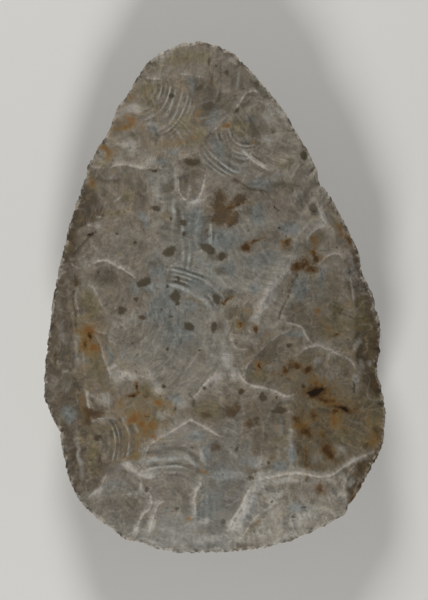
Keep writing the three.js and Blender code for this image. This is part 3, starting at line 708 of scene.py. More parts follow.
BROWN = [
    (13.9, 10.5, 0.6, 0.6, 0), (19.0, 8.4, 0.4, 0.9, 10, 0.8), (19.3, 7.2, 0.7, 0.9, 0, 0.9),
    (18.6, 5.4, 1.2, 0.6, 0, 0.9), (16.6, 6.3, 1.6, 0.8, 30, 0.9), (17.9, -13.9, 0.9, 0.6, 10, 0.9),
    (16.0, -23.4, 0.7, 0.8, 0, 0.8), (17.6, -25.8, 0.9, 0.9, 0, 0.9), (18.7, -22.9, 0.4, 0.8, 0, 0.9),
    (21.0, -26.8, 0.5, 0.9, 20, 0.7), (22.1, -29.9, 1.7, 0.6, -52, 0.9), (17.6, -30.8, 0.6, 1.8, 0, 0.5),
    (23.4, -7.3, 0.8, 0.2, 20, 0.8), (20.3, -37.2, 0.8, 1.0, 0, 0.9), (19.4, -18.0, 1.9, 1.0, 0),
    (21.0, -19.4, 2.0, 0.5, -15, 0.8), (24.6, -21.4, 1.9, 0.6, -12), (22.9, -22.2, 0.9, 0.5, 0, 0.7),
    (26.8, -39.3, 0.8, 0.6, 50, 0.8), (28.0, -36.6, 0.5, 1.2, -30, 0.8), (26.1, 11.0, 0.4, 0.8, 20, 0.8),
    (6.1, 9.6, 0.9, 0.7, 20), (7.8, 10.7, 1.2, 0.3, 20, 0.8), (2.4, -0.7, 0.9, 0.2, 35),
    (1.8, -1.3, 0.6, 0.2, -20), (4.9, -5.0, 0.4, 0.5, 0), (7.7, -5.9, 0.4, 0.8, 10),
    (15.8, -12.9, 0.6, 0.6, 0, 0.9), (13.5, -14.0, 0.7, 0.7, 0, 0.9), (-24.9, -9.0, 0.5, 0.7, 0, 0.8),
    (-24.1, -7.5, 0.5, 0.3, -50, 0.9), (-14.9, -17.0, 0.2, 0.7, -10), (-15.9, -18.7, 1.2, 0.3, 15, 0.9),
    (-13.1, -19.1, 0.5, 0.4, 0, 0.7), (3.3, 17.6, 2.0, 0.22, 12, 0.9), (2.6, 16.9, 0.25, 0.9, 0, 0.6),
    (3.0, 14.9, 1.2, 0.3, 70, 0.5),
]
DARK_STREAKS = [
    (19.0, -18.2, 1.3, 0.55, 5), (20.3, -17.9, 0.5, 0.3, 0), (25.3, -21.7, 0.8, 0.4, -8),
    (23.8, -21.3, 1.2, 0.2, -15, 0.9), (-24.0, -7.6, 0.5, 0.15, -50, 0.9),
    (-14.9, -17.1, 0.15, 0.6, -10, 0.8), (-15.6, -18.8, 0.9, 0.15, 15, 0.7),
    (8.6, -13.3, 0.8, 0.15, -60, 0.9), (12.1, 17.2, 0.9, 0.15, -35, 0.8), (12.2, 13.2, 0.5, 0.25, 30, 0.8),
    (-24.0, 12.3, 0.9, 0.25, 40, 0.8), (20.6, -23.4, 0.7, 0.2, -30, 0.7), (20.5, 4.4, 0.15, 1.8, 5, 0.6),
    (26.9, -16.8, 0.15, 1.4, 5, 0.6), (4.4, 17.95, 0.7, 0.12, 12, 0.6),
]
UMBER = [
    (-13.8, -3.7, 0.7, 0.6, 0), (3.0, -21.6, 1.4, 1.2, 0, 0.9), (4.2, -21.0, 0.9, 1.0, 0, 0.8),
    (-1.6, -22.6, 1.2, 0.7, 0, 0.8), (6.7, -24.2, 0.9, 1.0, 0), (8.0, -23.0, 0.9, 0.4, 10, 0.8),
    (6.8, -34.8, 0.8, 0.7, 0, 0.8), (0.2, -28.6, 1.1, 1.1, 0, 0.8), (14.6, -13.0, 1.0, 1.0, 40, 0.8),
    (13.9, -15.6, 0.8, 0.5, 0, 0.8), (24.1, -2.6, 0.8, 0.7, 0, 0.6), (31.2, -26.5, 2.4, 0.7, 80, 0.7),
    (30.0, -28.6, 1.6, 0.7, 20, 0.7), (28.4, -33.4, 1.8, 0.8, 75, 0.9), (-0.5, 42.6, 2.6, 0.35, 84, 0.7),
    (-0.4, 39.6, 1.8, 0.4, 80, 0.6), (15.4, 5.8, 1.0, 1.0, 35, 0.8), (4.0, 22.3, 1.0, 0.4, 0, 0.8),
    (17.8, -34.9, 0.4, 0.7, 0, 0.8), (22.2, -28.0, 0.5, 0.8, 0, 0.8), (-1.4, 12.5, 0.7, 0.6, 0, 0.6),
    (-26.9, 3.0, 0.4, 1.2, 10, 0.8), (31.0, -17.0, 0.7, 2.2, 10, 0.9), (-31.0, -11.5, 0.4, 2.0, 0, 0.7),
    (10.0, -26.5, 1.0, 0.6, 0, 0.7), (17.6, -32.4, 0.6, 0.8, 0, 0.7), (-23.6, -22.2, 2.2, 0.8, -12),
    (-24.6, -23.2, 0.9, 1.4, 10), (-22.2, -31.4, 0.4, 1.3, 0, 0.8), (31.2, -8.6, 0.5, 1.2, 0, 0.8),
    (30.4, -9.8, 0.7, 0.6, 0, 0.6), (27.9, -10.9, 0.9, 2.0, -20, 0.7), (1.2, 15.3, 1.9, 1.6, 0),
    (3.2, 14.9, 1.7, 1.3, 25), (0.9, 17.2, 1.1, 1.9, 0, 0.95), (1.0, 19.3, 1.2, 1.4, 0, 0.9),
    (4.5, 18.6, 1.7, 1.1, 25, 0.95), (4.0, 16.1, 1.6, 0.9, 0, 0.75), (2.6, 16.5, 1.4, 0.9, 0, 0.9),
    (3.4, 17.7, 2.0, 0.5, 12, 0.9),
]
# Pale patches of chalky patina; along the arris of the right wedge they are also a painted highlight
CHALK = [
    (-12.0, 26.3, 1.3, 1.1, 0, 0.8), (-18.2, 35.8, 1.1, 1.3, -20, 0.8), (-15.8, 36.6, 1.6, 1.0, 0),
    (2.4, -11.4, 1.1, 2.6, 8), (3.6, -14.4, 0.8, 1.5, 20, 0.8), (1.0, -15.0, 1.6, 0.7, 35, 0.6),
    (-19.6, -13.4, 1.1, 0.5, 15), (-18.4, -15.2, 1.8, 1.6, 0, 0.9), (-15.8, -15.2, 1.8, 0.8, 0, 0.6),
    (-20.8, -19.4, 1.5, 1.4, 0, 0.9), (-24.5, -18.8, 0.3, 1.3, 0, 0.8), (-16.0, -32.8, 2.2, 0.7, -40, 0.8),
    (-13.4, -34.2, 1.9, 0.9, -10, 1.1), (-11.2, -17.0, 1.0, 2.4, 25, 0.8), (11.8, 2.6, 4.4, 0.6, 57),
    (9.2, -1.6, 2.4, 1.0, 58), (7.8, -4.0, 1.6, 1.1, 45, 0.8), (5.2, -41.6, 4.2, 1.0, 61, 1.0),
    (7.4, -37.4, 2.0, 0.7, 55, 0.7), (3.8, -44.0, 2.0, 1.2, 58, 1.1), (9.0, -36.6, 1.8, 0.7, 40, 0.6),
    (11.6, -38.4, 2.2, 0.7, 40, 0.7), (14.6, -35.4, 2.6, 0.6, 0, 0.8), (20.6, -35.6, 2.4, 0.6, 0, 0.6),
    (26.6, -31.9, 2.6, 0.5, 24, 0.8), (25.0, -40.6, 1.8, 0.9, 45, 0.7), (15.0, -43.4, 4.6, 1.2, 20, 0.7),
    (-0.6, -46.8, 3.4, 1.3, 8, 0.7), (-6.4, -47.6, 3.0, 0.9, -5, 0.4), (-11.8, -43.4, 0.6, 2.6, -14),
    (-15.4, -45.6, 1.6, 0.8, 40, 0.9), (-10.6, -39.6, 1.6, 0.6, 10, 0.7), (-22.8, -37.6, 2.0, 0.6, 35, 0.8),
    (-31.0, -16.6, 1.4, 2.4, 0, 0.35), (-30.2, -6.6, 1.3, 2.6, -5, 0.4), (7.6, -31.4, 2.2, 1.6, 0, 0.9),
    (27.4, -9.0, 0.6, 1.6, -20, 0.7), (-22.8, -15.6, 1.4, 2.6, 12, 0.4), (10.3, 11.9, 2.0, 1.6, 0, 0.5),
    (-16.4, 29.4, 2.6, 1.2, 0, 0.7), (-3.6, 18.4, 1.4, 0.5, 10), (3.6, -30.0, 2.4, 0.7, -50, 0.6),
    (9.4, 30.8, 1.6, 1.4, 0, 0.6), (9.8, 34.4, 2.0, 1.6, 50, 0.6), (18.6, 26.6, 0.6, 1.6, 20, 0.7),
    (13.0, 35.4, 0.6, 2.0, 30, 0.7), (6.8, 27.0, 1.4, 0.5, -40), (21.0, 15.8, 0.5, 2.0, 25),
    (20.4, 13.9, 1.5, 0.4, 20, 0.9), (-2.5, -30.4, 0.5, 2.0, 20, 0.8), (-9.9, 47.2, 2.4, 0.9, 25, 0.6),
    (3.4, 46.0, 1.4, 0.7, -30, 0.6), (26.6, 6.2, 0.7, 2.2, 15, 0.6), (28.4, -13.0, 0.7, 1.8, 10, 0.7),
    (16.2, 19.4, 2.4, 1.6, 0, 0.6), (22.8, -14.4, 3.4, 2.4, 0, 0.45), (24.6, -38.4, 1.8, 1.0, 0, 0.6),
    (18.0, -39.4, 3.0, 1.2, 0, 0.5), (-28.3, -31.4, 1.1, 2.6, 15, 0.5), (-26.2, -31.0, 0.5, 2.8, 8),
    (19.4, -30.0, 1.3, 3.0, 0, 0.55), (14.6, -27.4, 0.8, 2.8, 0, 0.5), (24.0, -29.6, 1.6, 1.2, 20, 0.5),
    (10.4, 0.4, 1.0, 1.0, 0, 0.8), (-20.4, -9.2, 0.8, 1.6, 20, 0.6), (-10.2, 46.6, 1.2, 0.7, 0, 0.5),
    (-4.4, 39.6, 0.6, 1.6, 10, 0.5), (-19.9, 23.4, 1.6, 0.7, 0, 0.5), (27.7, -37.0, 0.8, 1.8, -20, 0.9),
    (25.6, -8.8, 1.6, 1.2, 0, 0.5), (-10.0, -22.5, 1.4, 1.4, 0, 0.9), (-0.4, -49.0, 2.4, 0.5, 3, 0.8),
    (8.2, 6.4, 1.4, 1.2, 0, 0.6), (30.0, -12.7, 0.7, 1.0, 0, 0.8), (-15.6, -38.0, 1.4, 0.8, 0, 0.5),
    (23.2, -38.2, 1.6, 1.4, 0, 0.5), (-0.8, 2.2, 1.6, 0.5, -35, 0.8), (-3.6, 0.4, 2.4, 0.4, -25, 0.6),
    (-10.3, 46.9, 1.4, 0.6, 20, 0.5), (25.0, 12.0, 0.4, 1.4, 25, 0.8), (25.0, -34.4, 1.0, 0.9, 0, 0.8),
    (27.4, -15.6, 0.8, 1.6, 0, 0.8), (25.4, 5.0, 0.8, 2.0, 10, 0.7), (-2.0, -43.4, 1.4, 0.8, 0, 0.8),
    (-15.6, 28.0, 2.6, 1.2, 0, 0.7), (-17.2, -23.6, 1.2, 1.2, 0, 0.6), (-10.0, -44.4, 1.4, 1.4, 0, 0.7),
    (19.6, -12.2, 1.2, 1.2, 0, 0.6), (14.6, -46.4, 2.4, 0.6, 15, 0.6), (6.8, -6.0, 1.0, 0.9, 0, 0.6),
    (25.4, -40.2, 1.6, 1.0, 45, 0.9), (-19.8, -8.4, 1.0, 1.6, 20, 0.6), (-11.3, 20.0, 1.2, 1.2, 0, 0.6),
    (-5.8, -20.6, 1.4, 1.0, 0, 0.6), (-14.0, -37.4, 0.9, 1.2, 0, 0.6), (16.4, 19.1, 1.8, 1.2, 0, 0.6),
    (15.2, 7.4, 1.2, 0.4, 35, 0.9), (23.6, 15.4, 0.5, 1.4, 25, 0.8), (7.2, -8.6, 1.6, 1.4, 0, 0.7),
    (26.4, 7.2, 0.7, 1.6, 20, 0.8), (25.2, 12.4, 0.6, 1.4, 25, 0.8), (26.3, -35.8, 1.2, 0.8, 50, 0.8),
    (10.4, 11.8, 1.4, 0.9, 0, 0.6), (-10.2, 46.6, 1.2, 0.8, 40, 0.7), (8.4, 5.2, 2.2, 1.2, 50, 0.6),
    (14.8, -46.0, 1.6, 0.7, 20, 0.8), (-29.0, 8.4, 0.8, 1.2, 0, 0.5), (14.0, 33.9, 0.8, 1.4, 30, 0.6),
    (11.4, 0.2, 2.6, 0.8, 52, 0.7), (-28.4, -17.4, 1.4, 1.6, 0, 0.45), (-30.2, -1.4, 0.8, 2.2, 0, 0.45),
    (13.9, 5.2, 2.2, 0.6, 42, 1.3), (11.0, 2.0, 2.2, 0.6, 52, 1.3), (9.2, -0.9, 1.6, 0.7, 60, 1.2),
    (-12.4, 34.0, 0.5, 2.4, -10, 0.5), (20.6, 5.6, 0.5, 1.6, -30, 0.5), (11.5, -13.0, 2.4, 1.6, 0, 0.35),
    (23.5, -11.4, 2.6, 1.6, 0, 0.35), (-8.0, -45.4, 3.0, 1.0, -15, 0.5), (-11.9, -47.6, 2.2, 0.6, -20, 0.9),
    (-16.8, -23.4, 1.0, 0.8, 0, 0.6), (-25.0, -2.4, 0.8, 1.0, 0, 0.5), (13.4, 26.8, 1.0, 1.0, 0, 0.6),
    (8.8, 34.0, 1.2, 1.2, 0, 0.6), (6.6, 8.4, 1.2, 1.0, 0, 0.5), (-26.7, -10.0, 0.4, 3.4, 3, 0.45),
    (-28.6, -14.3, 2.0, 0.4, 0, 0.5), (-33.0, -12.0, 0.5, 3.0, 0, 0.5), (19.4, -28.6, 0.8, 1.2, 0, 0.6),
    (25.2, 12.2, 0.6, 1.2, 25, 0.6), (-28.2, 8.2, 0.8, 1.0, 0, 0.5), (8.3, -34.6, 1.0, 0.5, 0, 0.7),
    (18.7, -38.4, 1.6, 1.2, 0, 0.5), (-31.2, -16.8, 1.0, 1.4, 0, 0.35),
]
BLUE = [
    (1.5, 11.0, 5.0, 2.4, 0), (8.6, 7.2, 3.4, 1.8, 20), (-9.5, -2.5, 4.5, 4.0, 0),
    (-6.5, -7.0, 4.0, 3.0, 0), (-11.0, 5.6, 1.8, 3.0, 15), (-13.4, 15.2, 0.8, 2.2, 15),
    (-28.6, -22.4, 1.6, 1.8, 0), (-3.6, -26.6, 1.6, 1.0, 0), (-1.8, -30.0, 0.8, 2.0, 0),
    (1.0, -37.0, 3.0, 3.6, 0), (-1.5, -41.0, 2.4, 2.4, 0), (-4.3, 41.4, 0.7, 1.8, 15),
    (-7.6, -19.6, 1.8, 0.9, 0), (16.6, 2.0, 1.6, 2.8, 0), (20.5, 4.0, 0.5, 2.4, 0),
    (15.0, -6.8, 2.6, 0.8, 0), (-4.0, 14.0, 3.0, 3.6, 0), (0.4, 29.0, 0.9, 3.0, 25),
    (3.0, 24.6, 2.4, 0.7, -10), (14.5, 13.4, 2.6, 1.4, 0), (20.0, -12.4, 0.6, 1.2, 0),
    (9.0, 22.0, 3.0, 1.6, 0), (6.8, 34.4, 0.8, 1.2, 0), (-3.2, 2.4, 4.0, 1.2, -22),
    (-0.5, 34.6, 0.9, 2.0, -20), (12.0, 23.6, 1.4, 0.5, 0), (-20.2, -11.0, 1.0, 1.6, 0),
    (12.6, -32.6, 1.6, 1.2, 0), (8.0, 16.5, 1.6, 2.6, 0), (-8.0, 28.0, 1.6, 0.5, 25),
    (-20.5, -36.6, 2.4, 1.0, 20), (16.4, -40.8, 2.4, 0.8, 0), (6.2, -40.6, 4.4, 1.4, 61),
    (-15.2, 1.9, 1.6, 1.6, 0), (6.8, -31.6, 2.0, 1.6, 0), (-2.3, -36.6, 0.8, 2.4, 0),
    (14.8, -30.0, 0.8, 2.0, 0), (-12.4, 2.2, 1.8, 1.8, 0), (2.5, 5.8, 2.0, 1.4, 0),
    (-4.8, -1.6, 1.8, 1.2, 0), (-10.2, 26.0, 1.4, 0.8, 0), (-11.8, 32.4, 1.2, 1.4, 0),
    (8.2, -6.8, 1.4, 1.0, 0), (9.0, -35.6, 1.2, 0.8, 0), (-9.9, -41.2, 1.2, 1.0, 0),
    (-2.3, -36.6, 0.8, 1.2, 0), (7.6, 1.9, 1.2, 1.2, 0), (-11.6, 4.6, 0.7, 2.2, 10),
    (-9.6, 2.2, 0.6, 1.8, -10), (5.4, -40.6, 3.6, 1.2, 61, 1.0), (0.4, -38.6, 2.0, 3.0, 0, 0.7),
    (10.8, 1.0, 3.0, 0.8, 52, 0.7), (18.6, -1.0, 2.0, 3.2, 20, 0.5), (-2.0, 14.0, 1.4, 3.4, 5, 0.5),
    (6.6, -14.4, 1.2, 1.2, 0, 0.5), (9.0, -34.9, 1.2, 0.5, 0, 0.8), (-26.4, -7.6, 0.7, 1.6, 0, 0.7),
    (-25.0, -11.4, 0.7, 1.6, 0, 0.6), (-2.6, -36.2, 0.7, 1.4, 0, 0.7), (-29.0, -9.6, 1.8, 3.6, 0, 0.4),
]
OLIVE = [
    (-5.5, 46.6, 5.0, 1.6, 5), (-12.5, 40.2, 2.6, 2.2, 0), (-13.0, 37.0, 2.6, 1.2, 0),
    (4.8, 32.8, 2.2, 1.8, 0), (-6.0, 29.6, 4.0, 0.9, 0), (-24.8, -0.4, 1.4, 1.8, 0),
    (-23.4, -2.6, 1.2, 1.8, 20), (-22.9, -12.4, 1.4, 4.8, 12), (20.2, 11.4, 0.9, 1.6, -25),
    (-16.6, 19.4, 1.6, 1.0, 0), (-18.6, 16.6, 3.0, 0.7, 10), (8.4, -15.0, 2.0, 1.6, 0),
    (7.5, -44.4, 2.4, 0.8, 45), (23.0, -5.5, 4.0, 2.4, 0), (28.0, -4.5, 2.2, 1.8, 0),
    (5.0, -4.4, 3.0, 2.2, 0, 0.8), (28.4, -27.6, 2.0, 2.0, 0, 0.8), (-1.5, -21.6, 3.0, 1.8, 0),
    (-23.7, -31.0, 0.9, 3.4, 0), (-20.4, -25.6, 1.6, 1.0, 0), (24.6, -27.0, 2.4, 1.4, 0),
    (13.6, 26.4, 2.0, 1.4, 0), (-6.5, 33.6, 2.2, 2.0, 0), (23.0, -23.4, 2.0, 1.2, 0),
    (-26.0, -27.0, 0.9, 1.8, 0), (12.5, -27.5, 2.0, 1.0, 0), (-2.6, 32.0, 2.0, 1.2, 0),
    (-11.0, -17.8, 0.8, 1.8, 25), (-29.0, 9.4, 1.0, 1.6, -50), (23.6, 15.0, 0.9, 2.6, 30),
    (31.0, -24.0, 1.2, 1.6, 0), (24.5, -34.6, 1.2, 0.9, 0), (-24.0, 23.6, 0.9, 0.9, 0),
    (-13.3, -17.3, 1.8, 1.4, 0), (29.0, -33.9, 1.6, 1.2, 45), (-21.8, 25.9, 1.6, 0.8, 40),
    (-15.0, -30.4, 1.4, 1.0, 0), (28.5, -1.2, 0.8, 2.4, 0), (31.2, -19.9, 1.4, 1.2, 0),
    (-11.5, -23.2, 1.6, 1.2, 0), (23.4, -2.5, 2.0, 1.4, 0), (20.5, -13.8, 1.8, 1.2, 0, 0.8),
    (-3.4, 11.7, 0.8, 1.0, 0, 0.6), (17.0, 2.9, 0.8, 1.6, 0, 0.6), (27.2, -8.8, 0.8, 1.4, 0, 0.8),
    (26.9, -2.3, 0.8, 1.4, 0, 0.8), (-29.8, -23.4, 0.9, 1.6, 0, 0.6), (30.4, -13.6, 1.0, 1.6, 0, 0.6),
    (7.8, 16.0, 1.2, 0.8, 0, 0.5),
]
# Soft dark patches, partly darker patina and partly painted shade
SHADE = [
    (-24.6, 17.4, 1.2, 2.2, -10), (-26.4, 14.6, 1.2, 0.7, 0), (-23.2, -22.3, 2.2, 0.8, -10),
    (-25.6, -25.6, 1.0, 1.4, 30), (-22.4, -31.6, 0.7, 1.6, 0), (16.0, -2.2, 2.4, 1.6, 0, 0.7),
    (3.2, -38.4, 1.6, 2.6, 0), (28.2, -11.6, 0.8, 2.4, -25), (31.2, -16.6, 0.8, 2.4, 15),
    (27.8, -36.2, 1.6, 3.6, -20), (-29.0, -10.6, 1.8, 1.8, 0), (-27.4, -17.4, 1.8, 2.8, 0),
    (-15.6, 31.6, 1.6, 0.9, -20, 0.8), (-11.6, 30.4, 0.5, 2.0, 15, 0.8), (-11.4, 31.6, 0.5, 1.6, 20),
    (-9.0, 20.8, 1.4, 1.4, 0), (6.8, 20.9, 2.4, 0.5, 0), (-8.0, -37.0, 3.0, 1.8, 0, 0.7),
    (-19.0, -42.0, 2.0, 1.6, 40, 0.5), (8.0, 32.0, 0.7, 1.8, 15), (13.0, 21.6, 3.4, 0.7, 0),
    (-7.8, -28.8, 4.2, 0.5, 0), (-21.0, 4.0, 3.0, 1.8, 0), (22.0, -3.0, 2.6, 2.2, 0, 0.5),
    (10.0, -10.6, 2.6, 1.8, 30, 0.8), (29.0, 2.2, 1.4, 2.4, 15), (-28.4, -30.4, 0.9, 3.6, 15),
    (4.0, -3.4, 1.6, 1.4, 0), (-5.6, 23.0, 1.2, 2.2, -10), (-20.4, 23.0, 3.6, 1.2, 0),
    (-3.4, 41.0, 1.2, 2.2, 0), (10.4, 12.0, 2.0, 1.6, 0), (-0.6, 40.6, 0.9, 4.4, 4),
    (-8.8, 4.0, 0.6, 2.0, 0), (18.6, -21.4, 3.6, 1.4, 0, 0.6), (10.6, -23.6, 4.4, 1.6, 0, 0.7),
    (2.6, -36.8, 3.4, 2.2, 0), (5.2, 38.0, 1.6, 1.8, 0), (-6.8, 3.2, 1.6, 1.2, 0),
    (11.3, -36.8, 2.0, 0.9, 0), (-5.4, -41.0, 1.2, 2.2, 0), (2.5, 0.6, 1.4, 1.2, 0),
    (-25.0, -24.2, 1.4, 1.2, 0), (-11.3, 6.6, 1.4, 1.2, 0), (2.6, -21.6, 2.2, 1.4, 0),
    (1.2, 5.1, 1.4, 0.8, -20), (14.4, 2.3, 1.0, 2.0, -20), (9.9, 39.4, 1.0, 1.0, 0),
    (-20.2, -33.6, 1.4, 1.0, 0), (-3.4, 24.8, 1.6, 1.6, 0), (6.4, -48.1, 2.2, 0.8, 0),
    (-25.7, -38.0, 1.4, 1.4, 0), (3.0, -39.4, 2.4, 1.6, 0), (-0.6, -35.8, 1.4, 1.4, 0),
    (0.8, 35.2, 1.2, 1.2, 0), (-24.0, 20.8, 1.2, 1.4, 0), (-0.2, 7.8, 1.6, 0.9, 0),
    (14.0, 9.6, 1.4, 1.4, 0), (10.2, -40.2, 1.4, 1.0, 0), (-21.2, -36.8, 1.6, 1.0, 0),
    (-13.6, -43.2, 0.9, 1.8, 0), (-4.6, -38.6, 0.9, 1.8, 0), (-26.6, 19.0, 0.8, 1.6, -10),
    (-27.6, 13.6, 0.6, 0.8, 0), (-26.0, 9.8, 2.6, 0.5, 48, 0.9), (14.2, -2.6, 1.2, 1.8, -20),
    (9.8, 39.8, 1.2, 0.9, -30), (-3.6, -33.4, 1.6, 1.0, 0), (11.0, -38.0, 1.4, 1.0, 0, 0.6),
    (-18.2, -32.8, 1.2, 0.9, 0, 0.6), (-8.2, -48.6, 1.8, 0.5, -5), (22.0, 4.0, 2.0, 1.6, 0, 0.4),
    (30.6, -17.6, 0.9, 1.8, 10), (-24.0, -25.8, 1.2, 1.0, 0, 0.7), (3.6, -16.4, 1.2, 0.7, 0, 0.8),
    (-0.6, -16.6, 0.9, 0.7, 0, 0.7), (10.2, 39.4, 1.2, 1.2, -40), (2.3, 36.8, 1.6, 1.4, 0),
    (2.8, -38.2, 2.0, 1.6, 0), (19.2, 17.2, 1.2, 1.6, 0, 0.8), (1.2, -5.6, 1.0, 1.4, 0),
    (-6.2, 2.4, 1.2, 0.8, -20), (11.8, -20.0, 1.6, 0.9, 0), (-29.6, 4.8, 0.9, 1.0, 0),
    (-16.2, 10.4, 2.0, 1.4, 0, 0.6), (-19.4, 13.0, 1.4, 0.9, 0, 0.7), (2.6, 24.4, 2.4, 0.8, -10, 0.7),
    (-13.4, -17.4, 1.4, 1.0, 0, 0.8), (7.4, 32.4, 0.9, 2.8, 18), (5.4, -35.6, 1.2, 0.8, 0),
    (-6.5, 3.2, 1.6, 1.0, -20), (9.6, 39.8, 1.4, 0.9, -40), (3.0, -38.2, 1.6, 1.4, 0),
    (-24.9, -21.6, 1.0, 0.9, 0), (-17.6, -33.4, 1.4, 0.6, 20, 0.8), (6.2, 16.4, 1.2, 1.6, 0, 0.8),
    (10.2, -39.2, 1.4, 0.9, 30, 0.8), (-5.4, -32.8, 1.2, 0.7, -20, 0.8), (-6.8, 2.9, 1.4, 1.2, -20),
    (2.9, -38.2, 1.4, 1.2, 0), (-23.6, 20.4, 1.2, 1.2, 0), (17.8, -35.2, 1.6, 0.8, 0, 0.8),
    (12.8, -36.2, 1.4, 0.9, 0, 0.8), (-16.4, -45.4, 1.0, 0.8, 30, 0.8), (1.8, -9.6, 1.2, 0.9, 0, 0.8),
    (-16.8, -2.9, 1.2, 0.9, 0, 0.7), (-13.6, 9.7, 1.4, 1.0, 0, 0.7), (5.4, -38.6, 1.2, 1.0, 0, 0.6),
    (10.2, 39.4, 1.2, 1.0, 30, 0.9), (0.8, 13.5, 1.2, 1.4, 0, 0.8), (-25.1, -20.4, 0.9, 1.2, 0, 0.8),
    (9.2, -19.4, 1.4, 0.8, 0, 0.8), (-12.8, -18.4, 1.2, 1.0, 0, 0.8), (-5.0, -32.4, 1.4, 0.7, 0, 0.8),
    (21.8, -21.8, 1.4, 1.2, 0, 0.8), (2.9, 24.6, 1.2, 1.0, 0, 0.7), (-29.3, -27.6, 0.8, 2.4, 10, 0.8),
    (-25.6, -35.6, 1.6, 0.9, 50, 0.8), (-24.4, -32.4, 1.4, 1.4, 0, 0.5), (-6.4, 3.0, 1.2, 0.8, 0, 0.8),
    (8.6, -38.4, 0.8, 1.2, 0, 0.8), (4.0, 34.2, 1.0, 1.2, 0, 0.7), (-26.2, -27.6, 0.9, 1.0, 0, 0.7),
    (-4.3, 18.5, 1.0, 0.8, 0, 0.6), (12.9, -5.6, 1.2, 1.0, 0, 0.7), (-6.0, 3.2, 0.9, 0.8, 0, 0.6),
    (-15.0, -45.4, 0.8, 0.6, 0, 0.8), (9.3, -19.2, 1.0, 0.8, 0, 0.7), (5.3, 31.6, 1.0, 1.0, 0, 0.7),
    (17.6, -34.9, 1.2, 0.5, 0, 0.8), (-20.9, -43.8, 1.2, 0.6, -25, 0.7), (2.9, 14.4, 1.0, 1.0, 0, 0.7),
    (2.9, -24.0, 1.2, 0.8, 0, 0.7), (14.4, -9.6, 1.2, 0.8, 0, 0.6),
]
# How sharp the outline of a mark is
CRISP = 4.5
SOFT = 3
HALOED = 2
FACE_MARKS = dict(
    spots=(SPOTS, CRISP), iron=(IRON, HALOED), umber=(UMBER, SOFT), brown=(BROWN, HALOED),
    streaks=(DARK_STREAKS, CRISP), chalk=(CHALK, SOFT), blue=(BLUE, SOFT), olive=(OLIVE, SOFT),
    shade=(SHADE, SOFT))
# The belly's marks are guessed, and lie at random places: their number, largest size, seed and outline
BELLY_MARKS = dict(
    spots=(34, 1.3, 11, CRISP), iron=(16, 1.8, 12, HALOED), umber=(9, 2.2, 13, SOFT),
    blue=(14, 6, 14, SOFT), olive=(12, 6, 15, SOFT), shade=(16, 5, 16, SOFT))
BELLY_REACH = (33, 50)
BELLY_MARK_EDGE = 0.95
SMALLEST_SHARE = 0.4
MARK_SPREAD = 0.8
# Each scar's own skin, and how fully it wears it; the dark skin is partly painted shade on the steep scars
# near the rim
SKINS = dict(
    dark_skin_and_shade=dict(left_upper_edge=1.8, left_shelf_edge=1.3, corner_outer=1.6, corner_inner=0.7,
                   left_pane=0.65, left_flank=0.7, left_strip=0.7, rim_high=0.4, rim_middle=0.75,
                   rim_low=0.8, rim_foot=0.85, butt_corner=1.9, brown_hollow=0.2, tip_middle=0.7,
                   tip_right=0.3, tip_cap=0.3, left_upper=0.2, right_low=0.35, streaks=0.3, right_big=0.1,
                   fan=0.3, butt_upper=0.4, butt_left=0.35, band=0.3, butt_blue=0.35, neck_low=0.35),
    brown_skin=dict(right_low=1.0, cell_brown=0.8, cell_green=0.5, butt_corner=1.0, rim_low=1.0,
                    rim_foot=1.0, rim_middle=0.5, fan=0.6, rusty=1.2, pale=0.4, left_groove=0.6,
                    left_slip=0.6, left_shoulder=0.4, band=0.3, right_big=0.4, streaks=0.4, neck_low=0.3,
                    tip_cap=0.5, tip_left=0.3, brown_hollow=0.4, left_upper=0.2, left_upper_edge=0.2,
                    left_shelf_edge=0.4, eye=0.2),
    blue_skin=dict(great=0.5, hackle=0.7, knot=0.9, spine=0.6, middle_left=0.7, butt_blue=1.0,
                   butt_upper=0.7, butt_middle=0.4, butt_wedge=1.2, butt_lip=0.8, butt_left=0.4,
                   butt_right=0.3, left_flank=0.2, ripples=0.3, neck=0.3, tip_middle=0.3, left_shelf=0.2,
                   right_wedge=0.4),
    pale_skin=dict(butt_wedge=0.7, butt_right=0.45, butt_lip=0.15, butt_shelf=0.35, neck=0.2, pale=0.4,
                   hackle=0.5, right_wedge=0.6, right_shoulder=0.4, right_upper=0.4, right_stain=0.4,
                   eye=0.4, left_shoulder=0.3, great=0.3, rusty=0.2, middle_left=0.3, right_big=0.2,
                   cell_brown=0.3, butt_middle=0.2, brown_hollow=0.2),
)
BELLY_SKINS = dict(dark_skin_and_shade=0.2, brown_skin=0.2, blue_skin=0.3, pale_skin=0.2)
SKIN_BLEND = 0.2
# The outlines of skins and marks wander: the size of each bend and how far it goes
SKIN_WANDER = [(6.0, 2.6), (1.6, 0.9)]
MARK_WANDER = [(2.2, 0.5), (0.8, 0.22)]
# How far in mm the pale line on an arris reaches, its halo, the painted shade below it and other bands, such
# as the rim's painted highlights and shade
ARRIS_LINE = 0.4
ARRIS_LINE_EVENNESS = 0.8
ARRIS_HALO = 1.6
BELOW_ARRIS = 2.6
CREASE_LINE = 0.6
CREASE_DARKNESS = 0.4
CHIP_RIDGE_LINE = 0.5
CHIP_RIDGE_PALENESS = 0.2
HOLLOW_REACH = 5.0
RIM_LIGHT_AND_SHADE_BAND = (0.2, 2.2)
LEVEL_CREST = 0.5
# In from_strike: how far out the block's ends lie, mm to a radian, and what sets one scar from the next
BLOCK_STRETCH = 1.4
TURN_SIZE = 12
SCAR_STEP = 7.0
# What is stored at each point of the stone for its material, three measures to a store
STORES = dict(
    stains=("spots", "iron", "umber"), patina=("arris", "chalk", "streaks"),
    tints=("blue", "olive", "shade"), skins=("dark_skin_and_shade", "brown_skin", "pale_skin"),
    lie=("hollow", "halo", "edge"), cool=("blue_skin", "crest", "brown"), under=("below_arris",))
FLOW_STORE = dict(flow=("away", "turned", "scar"))


